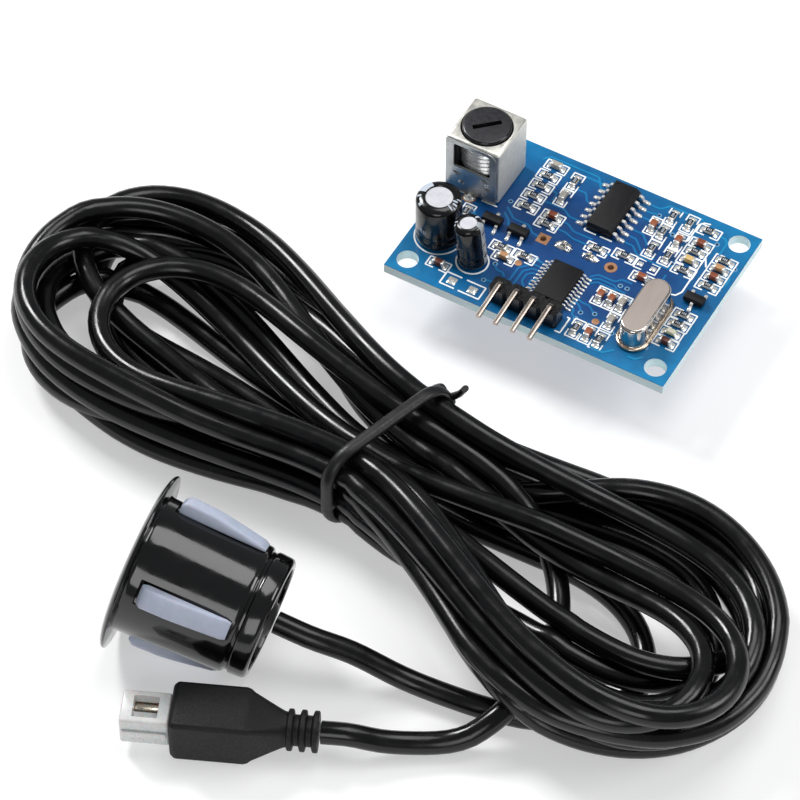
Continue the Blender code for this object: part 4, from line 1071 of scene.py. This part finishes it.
def make_chips(mats, solder):
    """Moulded packages with bent leads on two sides, or with one lead against two."""
    metal = bmesh.new()
    # Node, half sizes and height, leads a side and pitch, their width, reach and thickness, then the
    # mould's chamfer and the dimple at the first lead.
    rows = (("amplifier_chip", (1.95, 4.325, 1.5), 7, 1.27, 0.44, 1.15, 0.22, 0.42, (-1.25, 3.55)),
            ("controller_chip", (2.2, 3.25, 1.1), 10, 0.65, 0.25, 1.0, 0.13, 0.08, (-1.6, 2.6)))
    for node, size, count, pitch, width, reach, thick, chamfer, dimple in rows:
        low, high = corners(node)
        middle = (low + high) / 2 - BOARD_LOW
        top = GAP + size[2]
        shape = cut(stack(mould(size, chamfer)),
                    turned(((0, top - 0.06), (0.3, top - 0.06), (0.34, top + 0.2), (0, top + 0.2)), 20,
                           (*dimple, 0)))
        piece(node + "_body", placed(shape, place(middle.x, middle.y)), [mats["epoxy"]], BOARD_BODY,
              [node])
        leads = [(side * size[0], (k - (count - 1) / 2) * pitch, (side, 0))
                 for side in (-1, 1) for k in range(count)]
        gull_leads(metal, solder, middle, leads, width, reach, size[2] * 0.5, thick)
    for node, single in (("drive_transistor_1", 1), ("drive_transistor_2", 1), ("voltage_regulator", -1)):
        low, high = corners(node)
        middle = (low + high) / 2 - BOARD_LOW
        half = 0.675
        body = placed(stack(mould((1.45, half, 1.1))), place(middle.x, middle.y))
        piece(node + "_body", body, [mats["epoxy"]], BOARD_BODY, [node])
        leads = [(u, -single * half, (0, -single)) for u in (-0.95, 0.95)]
        leads.append((0, single * half, (0, single)))
        gull_leads(metal, solder, middle, leads, 0.42, 0.65, 0.5, 0.15)
    piece("chip_leads", metal, [mats["lead_tin"]], BOARD_BODY)


def make_crystal(mats):
    """Pressed cover with a rounded top edge, on a flanged base."""
    low, high = corners("crystal_cover")
    middle = (low + high) / 2 - BOARD_LOW
    matrix = place(middle.x, middle.y)
    length, width = high.y - low.y, high.x - low.x
    top = high.z - TOP
    edge = 0.42
    rings = [racetrack(length + 0.3, width + 0.3, 0.5), racetrack(length + 0.08, width + 0.08, 0.62),
             racetrack(length, width, 0.8)]
    for k in range(7):
        turn = radians(90 * k / 6)
        inset = 2 * edge * (1 - cos(turn))
        rings.append(racetrack(length - inset, width - inset, top - edge + edge * sin(turn)))
    cover = placed(loft(rings), matrix)
    paint(cover, lambda _, normal: 1 if normal.z > 0.93 else 0)
    piece("crystal_shell", cover, [mats["crystal_side"], mats["crystal_top"]], BOARD_BODY,
          ["crystal_cover"], 60)
    low, high = corners("crystal_base")
    length, width = high.y - low.y, high.x - low.x
    levels = ((-0.3, 0.1), (-0.06, 0.13), (0.0, 0.2), (0.0, 0.42), (-0.08, 0.5), (-0.3, 0.54))
    base = placed(loft([racetrack(length + 2 * d, width + 2 * d, z) for d, z in levels]), matrix)
    piece("crystal_flange", base, [mats["crystal_rim"]], BOARD_BODY, ["crystal_base"], 60)


def sleeve_profile(radius, low, high):
    """Outer line of a sleeved can, from the axis at the top to the axis at the bottom."""
    lip = [(radius * (0.6 + 0.4 * sin(radians(a))), high - 0.8 + 0.8 * cos(radians(a)))
           for a in (4, 14, 24, 35, 46, 58, 70, 82)]
    return [(0, high - 0.2), (radius * 0.58, high - 0.2), (radius * 0.6, high - 0.08)] + lip + [
        (radius, high - 0.85), (radius, low + 2.3), (radius - 0.03, low + 2.1), (radius - 0.09, low + 1.85),
        (radius - 0.09, low + 1.7), (radius - 0.03, low + 1.45), (radius, low + 1.2), (radius, low + 0.35),
        (radius - 0.06, low + 0.14), (radius - 0.2, low), (0, low)]


def patch(profile, start, end):
    """Thin solid that lies on a turned profile's stretch between two angles."""
    lift, steps = 0.02, 10
    rings = []
    for k in range(steps + 1):
        angle = radians(start + (end - start) * k / steps)
        outer = [((r + lift) * cos(angle), (r + lift) * sin(angle), z + lift * 0.7) for r, z in profile]
        inner = [((r - lift) * cos(angle), (r - lift) * sin(angle), z - lift * 0.7) for r, z in profile]
        rings.append(outer + inner[::-1])
    return loft(rings)


def make_electrolytic(name, body, marks, mats):
    """Sleeved can on its rubber bung; marks are patches of (start, end, from, to, material): lettering and
    stripes on the side, and painted highlights on the top lip.
    """
    at, radius, height, lean = body
    matrix = place(*at, z=GAP) @ Matrix.Rotation(radians(lean), 4, "Y")
    low = 0.3
    profile = sleeve_profile(radius, low, height)
    can = placed(turned(profile, 72), matrix)
    centre = matrix @ Vector((0, 0, height - 0.2))
    axis = matrix.to_3x3() @ UP
    paint(can, lambda spot, normal: 1 if (spot - centre).dot(axis) > -0.05
          and (spot - centre).length < radius * 0.55 and normal.dot(axis) > 0.9 else 0)
    piece(name + "_sleeve", can, [mats["sleeve"], mats["cap_top"]], BOARD_BODY,
          [name + "_can"], 40)
    # Patches of print and of painted highlight on the sleeve.
    prints_and_highlights = bmesh.new()
    for start, end, first, last, mat in marks:
        line = [p for p in profile[3:-2] if first <= height - p[1] <= last]
        if first > 0.85:
            line.insert(0, (radius, height - first))
        if 0.85 < last < height - 2.7:
            line.append((radius, height - last))
        if len(line) > 1:
            stamp(prints_and_highlights, patch(line, start, end), matrix, mat)
    piece(name + "_print_and_highlights", prints_and_highlights, [mats["print_and_highlight"], mats["stripe"], mats["sleeve"]], BOARD_BODY,
          sharp=50)
    bung = radius - 0.4
    seal = turned(((0, low), (bung, low), (bung, 0.12), (bung - 0.3, 0.0), (0, 0.0)), 40)
    piece(name + "_seal", placed(seal, matrix), [mats["rubber"]], BOARD_BODY,
          [name + "_bung"])
    return matrix


def make_electrolytics(mats):
    # On both cans the patches within half a millimetre of the top lie on the lip and are painted highlights.
    # The narrow marks lower down are lettering, and the small can's full-height patch is its stripe.
    large = [(140, 186, 0.0, 0.45, 0), (200, 206, 0.03, 0.4, 0), (213, 223, 0.03, 0.2, 0),
             (229, 239, 0.1, 0.4, 0), (352, 358, 0.02, 0.3, 0), (4, 10, 0.0, 0.2, 0),
             (15, 19, 0.05, 0.5, 0), (246, 249, 4.2, 4.9, 0), (251, 253, 4.0, 5.0, 0),
             (256, 259, 4.3, 5.1, 0), (262, 264, 4.2, 5.0, 0), (334, 339, 0.0, 0.3, 0),
             (343, 346, 0.1, 0.4, 0)]
    small = [(352, 385, 0.0, 7.1, 1), (196, 204, 0.02, 0.3, 0), (212, 220, 0.1, 0.4, 0),
             (60, 72, 0.0, 0.3, 0), (232, 236, 3.2, 4.0, 0), (239, 242, 3.0, 4.2, 0)]
    make_electrolytic("large_capacitor", LARGE_CAPACITOR, large, mats)
    matrix = make_electrolytic("small_capacitor", SMALL_CAPACITOR, small, mats)
    bars = bmesh.new()
    for k in range(3):
        z = 6.2 - 2.1 * k
        stamp(bars, patch([(2.025, z), (2.025, z - 0.28)], 357, 380), matrix)
    piece("small_capacitor_bars", bars, [mats["sleeve"]], BOARD_BODY, sharp=50)


def make_header(mats, solder):
    """Block with notched sides and collars, and four pins bent forwards."""
    low, high = corners("header_block")
    base = low.z - TOP
    count, pitch, notch = 4, 2.54, 0.36
    middle = (low.y + high.y) / 2 - BOARD_LOW.y
    half = (high.y - low.y) / 2
    first = low.x - BOARD_LOW.x
    front = []
    for k in range(count):
        left = first + k * pitch
        front += [(left, middle - half + notch), (left + notch, middle - half),
                  (left + pitch - notch, middle - half)]
    front.append((first + count * pitch, middle - half + notch))
    outline = front + [(x, 2 * middle - y) for x, y in reversed(front)]
    strip = loft([[(x, y, z) for x, y in outline] for z in (base, base + pitch)])
    soften(strip, 0.3, 0.07, 2)
    block = placed(strip, place(0, 0))
    for k in range(count):
        x = first + (k + 0.5) * pitch
        collar = tapered([(0.52, 0.08, base + pitch - 0.05), (0.46, 0.08, base + pitch + 0.12)])
        stamp(block, collar, place(x, middle))
        under_joint(solder, x, middle)
    piece("header_strip", block, [mats["block"]], BOARD_BODY, ["header_block"])
    half = 0.32
    ring = rectangle(-half, half, -half, half, 0.05, 2)
    for node in [f"header_pin_{k + 1}" for k in range(count)]:
        low, high = corners(node)
        x = (low.x + high.x) / 2
        y = middle + BOARD_LOW.y
        top = high.z - half
        path = rounded(((x, y, low.z + 0.45), (x, y, top), (x, low.y + 0.03, top - 0.5)), 0.62, 6)
        pin = sweep(path, ring, across=(1, 0, 0))
        soften(pin, 1.2, 0.12, 1)
        piece(node + "_bent", pin, [mats["pin"]], BOARD_BODY, [node])


def under_joint(solder, x, y, pad=0.85, tall=0.75, wire=0.3):
    """Cone of solder round a lead, under the board; pad and wire are radii, tall is its height."""
    profile = ((0, SUNK), (pad, SUNK), (pad, -0.05), (pad * 0.72, -0.16), (pad * 0.5, -0.34),
               (wire + 0.06, -tall), (wire, -tall - 0.25), (0, -tall - 0.3))
    spot = Matrix.Translation((BOARD_LOW.x + x, BOARD_LOW.y + y, BOARD_LOW.z))
    stamp(solder, turned(profile, 20), spot)


def make_underside(solder):
    """Joints of the parts whose leads pass through the board."""
    joints = []
    for (at, *_), half_pitch in ((LARGE_CAPACITOR, 1.75), (SMALL_CAPACITOR, 1.0)):
        joints += [(at[0] + d, at[1]) for d in (-half_pitch, half_pitch)]
    joints += [(CRYSTAL_X, CRYSTAL_Y + d) for d in (-2.45, 2.45)]
    joints += [(COIL_X + dx, COIL_Y + dy) for dx in (-2.25, 2.25) for dy in (-2.25, 0.0, 2.25)]
    for x, y in joints:
        under_joint(solder, x, y, 0.75, 0.55, 0.22)
    for y in (15.95, 25.2):
        under_joint(solder, COIL_X, y, 0.8, 0.4, 0.35)


def make_centre_joints(mats):
    """Ragged joints of the socket's two legs, on the top of the board."""
    joints = bmesh.new()
    spikes = ((0.1, 0.0, 0.3, 1.3), (-0.55, 0.15, 0.26, 0.62), (0.5, -0.28, 0.22, 0.72),
              (-0.1, -0.35, 0.2, 0.55))
    for (x, y, _), flip in zip(SOCKET_HOLES, (1, -1)):
        lump = bmesh.new()
        bmesh.ops.create_icosphere(lump, subdivisions=4, radius=1.0)
        for v in lump.verts:
            bump = 1 + 0.13 * sin(4.1 * v.co.x + 2 * flip) * cos(5.3 * v.co.y)
            bump += 0.1 * sin(7.7 * v.co.y + flip)
            v.co = Vector((v.co.x * 1.28 * bump - 0.15 * flip, v.co.y * 0.74 * bump,
                           max(-SUNK, v.co.z * 0.42 * bump)))
        stamp(joints, lump, place(x, y))
        for u, v, wide, tall in spikes:
            spike = turned(((0, tall), (wide * 0.45, tall * 0.97), (wide * 0.55, tall * 0.7),
                            (wide, tall * 0.4), (wide * 1.3, 0.1), (0, 0.1)), 14)
            stamp(joints, spike, place(x + u * flip, y + v))
    piece("socket_joints", joints, [mats["joint_tin"]], BOARD_BODY, sharp=60)


# ======== tuning coil ========

# Small triangular openings in the can's front and dimples in its flap, from its middle and its foot.
CAN_PUNCHES = ((-2.3, 3.3), (1.9, 3.75), (2.55, 2.3))
CAN_DIMPLES = ((-1.5, 1.7), (2.0, 1.0))


def punches(half, base):
    """Cutter for the triangular openings."""
    holes = bmesh.new()
    for x, z in CAN_PUNCHES:
        corner = ((x - 0.6, base + z), (x + 0.55, base + z - 0.05), (x + 0.35, base + z + 0.5))
        stamp(holes, loft([[(u, y, v) for u, v in corner] for y in (-half - 1, -half + 0.6)]))
    return holes


def make_coil(mats, solder):
    """Shield can over the coil, with a window, a folded front and a soldered tab."""
    low, high = corners("shield_can")
    middle = (low + high) / 2 - BOARD_LOW
    base, top = low.z - TOP, high.z - TOP
    half = (high.x - low.x) / 2
    matrix = place(middle.x, middle.y)
    shell = box_shape((-half, -half, base), (half, half, top), 0.42, 4)
    inner = half - 0.3
    shell = cut(shell, box_shape((-inner, -inner, base - 2), (inner, inner, top - 0.3), 0.2))
    shell = cut(shell, turned(((0, top - 1), (3.6, top - 1), (3.6, top + 1), (0, top + 1)), 72))
    wide, sill, lintel = 2.9, base + 4.4, base + 9.0
    shell = cut(shell, box_shape((-wide, -half - 1, sill), (wide, -half + 1, lintel), 0.05, 1))
    shell = cut(shell, punches(half, base))
    body = placed(shell, matrix)
    # Painted light and shade: the front, the top and the sides get lit and shaded copies of the tin.
    paint(body, lambda _, normal: 2 if normal.y < -0.75 else (0 if normal.z > 0.5 else 1))
    piece("can_shell", body, [mats["can"], mats["can_side_shaded"], mats["can_front_shaded"]], BOARD_BODY,
          ["shield_can"], 50)
    # The front is a flap folded down over the box, with one rounded corner.
    thick = 0.14
    left, right, foot, head, corner = -half + 0.1, half - 0.32, base + 0.05, top - 0.22, 1.3
    outline = [(left, foot), (right, foot)]
    outline += [(right - corner + corner * cos(radians(a)), head - corner + corner * sin(radians(a)))
                for a in range(0, 91, 15)]
    outline.append((left, head))
    flap = loft([[(x, y, z) for x, z in outline] for y in (-half - thick, -half - 0.01)])
    soften(flap, 1.2, 0.05, 2)
    flap = cut(flap, box_shape((-wide + 0.12, -half - 1, sill + 0.12),
                               (wide - 0.12, -half + 1, lintel - 0.1), 0.3, 3))
    flap = cut(flap, punches(half, base))
    front = placed(flap, matrix)
    for x, z in CAN_PUNCHES:
        lip = rounded(((x - 0.6, -half - 0.1, base + z + 0.02), (x - 0.1, -half - 0.34, base + z - 0.14),
                       (x + 0.6, -half - 0.1, base + z - 0.1)), 0.3)
        stamp(front, sweep(lip, oval(0.13, 0.1, 8), across=(0, 0, 1)), matrix)
    for x, z in CAN_DIMPLES:
        levels = ((0.5, 0.12), (0.44, 0.16), (0.3, 0.3), (0.14, 0.36), (0.04, 0.37))
        stamp(front, loft([[(x + u, -half - out, base + z + v) for u, v in around(20, radius)]
                           for radius, out in levels]), matrix)
    # The flap gets the front's darker copy of the tin, painted shade.
    piece("can_front_flap", front, [mats["can_front_shaded"]], BOARD_BODY, sharp=40)
    tab = box_shape((-0.32, -half - 0.2, -0.3), (0.38, -half - 0.02, 0.9), 0.06)
    piece("can_tab", placed(tab, matrix), [mats["can"]], BOARD_BODY)
    lump = turned(((0, 0.8), (0.2, 0.74), (0.36, 0.45), (0.62, 0.16), (0.8, 0.06), (0.8, -SUNK), (0, -SUNK)),
                  20)
    stamp(solder, lump, place(middle.x + 0.05, middle.y - half - 0.55))
    make_core(mats)
    for node, mat in (("coil_base", "former"), ("coil_drum", "ferrite"), ("coil_winding", "copper")):
        refinish(node, mats[mat])


def make_core(mats):
    """Threaded tuning core: a cap with a screwdriver slot over a cup."""
    low, high = corners("tuning_core")
    middle = (low + high) / 2
    floor = TOP + GAP
    top, foot = high.z - floor, low.z - floor
    radius, edge, pitch, depth = 3.4, 0.34, 0.75, 0.24
    cup_radius, cup_top = 2.85, 8.3
    profile = [(0, top)]
    profile += [(radius - edge + edge * sin(radians(a)), top - edge + edge * cos(radians(a)))
                for a in (0, 20, 40, 60, 80, 90)]
    crest = 9.0
    while crest - pitch > foot:
        profile += [(radius, crest), (radius - depth * 0.5, crest - pitch * 0.18),
                    (radius - depth, crest - pitch * 0.42), (radius - depth * 0.5, crest - pitch * 0.66),
                    (radius, crest - pitch * 0.84)]
        crest -= pitch
    profile += [(radius, crest), (radius, foot), (cup_radius, foot), (cup_radius, cup_top), (0, cup_top)]
    shape = turned(profile, 96)
    slot = box_shape((-2.0, -0.35, top - 0.9), (2.0, 0.35, top + 1), 0.06)
    bmesh.ops.rotate(slot, matrix=Matrix.Rotation(radians(43), 3, "Z"), verts=slot.verts)
    shape = cut(shape, slot)
    bmesh.ops.translate(shape, vec=(middle.x, middle.y, floor), verts=shape.verts)
    paint(shape, lambda spot, normal: 0 if normal.z > 0.97 and spot.z > floor + 9.5 else
          (1 if spot.z > floor + 9.05 else 2))
    piece("core_cap", shape, [mats["core"], mats["core_rim"], mats["thread"]], CORE_BODY,
          ["tuning_core"], 40)


# ======== socket under the board ========

def make_socket(mats):
    """Two-way socket: a mouth towards the board's back, two key slots below and two slits in front."""
    low, high = corners("socket_housing")
    mouth_low = (MOUTH_X - MOUTH_HALF, high.y - MOUTH_DEPTH, MOUTH_Z - MOUTH_HALF)
    mouth_high = (MOUTH_X + MOUTH_HALF, high.y + 1, MOUTH_Z + MOUTH_HALF)
    body = cut(box_shape(low, high, 0.25, 3), box_shape(mouth_low, mouth_high, 0.12))
    keys = bmesh.new()
    for x in (low.x + 1.1, high.x - 1.1):
        stamp(keys, box_shape((x - 0.6, high.y - 5.0, low.z - 1), (x + 0.6, high.y + 1, low.z + 0.5),
                              0.05, 1))
    body = cut(body, keys)
    slits = bmesh.new()
    for x in (MOUTH_X - 1.9, MOUTH_X + 1.9):
        stamp(slits, box_shape((x - 0.5, low.y - 1, 2.7), (x + 0.5, low.y + 3.0, 4.9)))
    body = cut(body, slits)
    piece("socket_shell", body, [mats["nylon"]], BOARD_BODY, ["socket_housing"], 40)
    for node in ("socket_contact_1", "socket_contact_2"):
        refinish(node, mats["contact"])


# ======== probe ========

def make_probe(mats):
    """Flanged housing with a groove at its tail, the face's cup, the potting and the soft pads."""
    centre, _, turn = probe_pose()
    matrix = Matrix.Translation(centre) @ turn
    groove, tail = 15.8, PROBE_LENGTH
    shell = [(7.95, 0.2), (8.1, 0.06), (8.6, 0.0), (9.2, 0.0), (10.4, 0.16), (11.2, 0.4), (11.6, 0.62),
             (FLANGE_R - 0.01, 0.8), (FLANGE_R, 0.95), (11.68, 1.06), (11.5, RIM_Z), (9.4, 1.12),
             (9.22, 1.18), (9.12, 1.35), (9.07, 1.6), (8.98, 3.4), (8.53, 15.0), (8.48, 15.45), (8.3, 15.72),
             (8.05, groove), (7.98, groove + 0.15), (7.98, groove + 0.4), (8.1, groove + 0.52),
             (8.2, groove + 0.66), (8.23, groove + 0.9), (8.16, tail - 0.7), (8.08, tail - 0.35),
             (7.86, tail - 0.1), (7.6, tail), (7.1, tail), (6.93, tail - 0.12), (6.9, tail - 0.4), (6.9, 8.4),
             (7.95, 8.0)]
    pads = [Matrix.Rotation(PAD_FIRST_ANGLE + 2 * pi * k / PAD_COUNT, 4, "Z") for k in range(PAD_COUNT)]
    recesses = bmesh.new()
    for pad_turn in pads:
        stamp(recesses, box_shape((8.42, -1.75, 2.7), (12.0, 1.75, 15.3), 0.15), pad_turn)
    housing = cut(turned(shell, 128), recesses)
    piece("probe_shell", placed(housing, matrix), [mats["probe"]], LEAD_BODY,
          ["probe_housing"], 30)
    cup = ((0, 0.1), (5.5, 0.1), (7.1, 0.12), (7.5, 0.2), (7.74, 0.4), (7.8, 0.7), (7.8, 7.8), (7.0, 7.8),
           (7.0, 1.0), (0, 1.0))
    piece("probe_face", placed(turned(cup, 96), matrix), [mats["diaphragm"]], LEAD_BODY,
          ["probe_diaphragm"])
    fill = tail - 0.55
    potting = ((0, 8.6), (6.75, 8.6), (6.8, fill - 0.1), (6.3, fill), (3.2, fill + 0.04), (2.7, fill + 0.14),
               (2.3, fill + 0.4), (2.05, fill + 0.8), (1.75, tail + 0.4), (0, tail + 0.4))
    piece("probe_fill", placed(turned(potting, 64), matrix), [mats["potting"]], LEAD_BODY,
          ["probe_potting"])
    refinish("probe_piezo", mats["piezo"])
    for k, pad_turn in enumerate(pads):
        pad = piece(f"probe_pad_{k + 1}_soft", placed(pad_shape(), matrix @ pad_turn), [mats["pad"]],
                    LEAD_BODY, [f"probe_pad_{k + 1}"], 60)


def pad_shape():
    """Soft strip with a crowned back that thins towards the probe's tail."""
    first, last, half, inner = 3.15, 15.0, 1.42, 8.5
    rings = []
    stations = 18
    for k in range(stations + 1):
        t = k / stations
        z = first + (last - first) * t
        end = min(1.0, min(t, 1 - t) / 0.045)
        taper = (1 - (1 - end) ** 2) ** 0.5
        outer = 10.45 - 0.35 * t - 1.1 * max(0.0, t - 0.35) ** 1.2 * 1.6
        width = half * (0.86 + 0.14 * taper)
        high = inner + (outer - inner) * (0.72 + 0.28 * taper)
        ring = rectangle(-width, width, inner, high, 0.42, 4)
        rings.append([(r + (0.1 * (1 - (s / half) ** 2) if r > inner + 0.5 else 0.0), s, z)
                      for s, r in ring])
    return loft(rings)


# ======== plug ========

def make_plug(mats):
    """Nose with two contact chambers and a window, and a moulded body with a ribbed strain relief."""
    matrix = Matrix.Translation((*PLUG_AT, 0)) @ Matrix.Rotation(PLUG_TURN, 4, "Z")
    half, mid = 2.4, PLUG_MID_Z
    nose = box_shape((0, -half, mid - half), (6.2, half, mid + half), 0.3, 3)
    rooms = bmesh.new()
    for side in (-1, 1):
        stamp(rooms, box_shape((-1, side * 1.2 - 0.8, mid - 0.95), (5.5, side * 1.2 + 0.8, mid + 0.95),
                               0.1, 1))
    nose = cut(nose, rooms)
    nose = cut(nose, box_shape((1.5, -1.6, mid + 0.5), (4.7, 1.6, mid + 4), 0.15))
    shell = placed(nose, matrix)
    ridge = box_shape((0.3, -2.75, mid - 0.5), (5.9, -2.35, mid + 0.5), 0.12)
    stamp(shell, ridge, matrix)
    tip = piece("plug_nose_shell", shell, [mats["nose"]], LEAD_BODY, ["plug_nose"], 40)
    contacts = []
    for k, side in enumerate((-1, 1)):
        mid_y = side * 1.2
        body = cut(box_shape((0.55, mid_y - 0.58, mid - 0.72), (5.25, mid_y + 0.58, mid + 0.72), 0.1),
                   box_shape((-1, mid_y - 0.4, mid - 0.5), (4.0, mid_y + 0.4, mid + 0.5)))
        node = f"plug_contact_{k + 1}"
        contacts.append(piece(node + "_box", placed(body, matrix), [mats["contact"]], LEAD_BODY,
                              [node]))
    # Cross sections of the body: place along it, half width, foot, top and corner.
    start = 6.3
    stations = [(0.0, 3.1, 0.55, 6.95, 0.5), (0.12, 3.28, 0.34, 7.16, 0.55), (0.5, 3.5, 0.05, 7.45, 0.6),
                (0.8, 3.55, 0.0, 7.5, 0.6), (9.2, 3.55, 0.0, 7.5, 0.6), (9.7, 3.45, 0.1, 7.4, 0.65),
                (10.2, 3.2, 0.35, 7.15, 0.75), (13.4, 2.1, 1.42, 6.08, 1.1), (14.1, 1.92, 1.6, 5.9, 1.3)]
    for k in range(3):
        x = 14.4 + 1.6 * k
        stations += [(x, 1.95, 1.6, 5.9, 1.5), (x + 0.1, 2.3, 1.42, 6.08, 1.7),
                     (x + 0.22, 2.42, 1.33, 6.17, 1.8), (x + 0.66, 2.42, 1.33, 6.17, 1.8),
                     (x + 0.78, 2.3, 1.42, 6.08, 1.7)]
        if k < 2:
            stations += [(x + 0.9, 1.85, 1.9, 5.6, 1.5), (x + 1.5, 1.85, 1.9, 5.6, 1.5)]
    moulded = loft([[(start + x, y, z) for y, z in rectangle(-wide, wide, low, high, corner, 5)]
                    for x, wide, low, high, corner in stations])
    case = piece("plug_case", placed(moulded, matrix), [mats["plug"]], LEAD_BODY,
                 ["plug_body"], 32)
    return [tip, case, *contacts]


# ======== everything ========

make_camera()
materials = make_materials()
make_studio(materials)
cable, cable_exit = make_cord(materials)
band = make_tie(materials)
plug_pieces = make_plug(materials)
make_board(materials)
solder_joints, small_places = make_chip_parts(materials)
make_print(materials, small_places)
make_chips(materials, solder_joints)
make_crystal(materials)
make_electrolytics(materials)
make_header(materials, solder_joints)
make_centre_joints(materials)
make_underside(solder_joints)
make_coil(materials, solder_joints)
make_socket(materials)
piece("board_solder", solder_joints, [materials["solder"]], BOARD_BODY, sharp=50)
make_probe(materials)
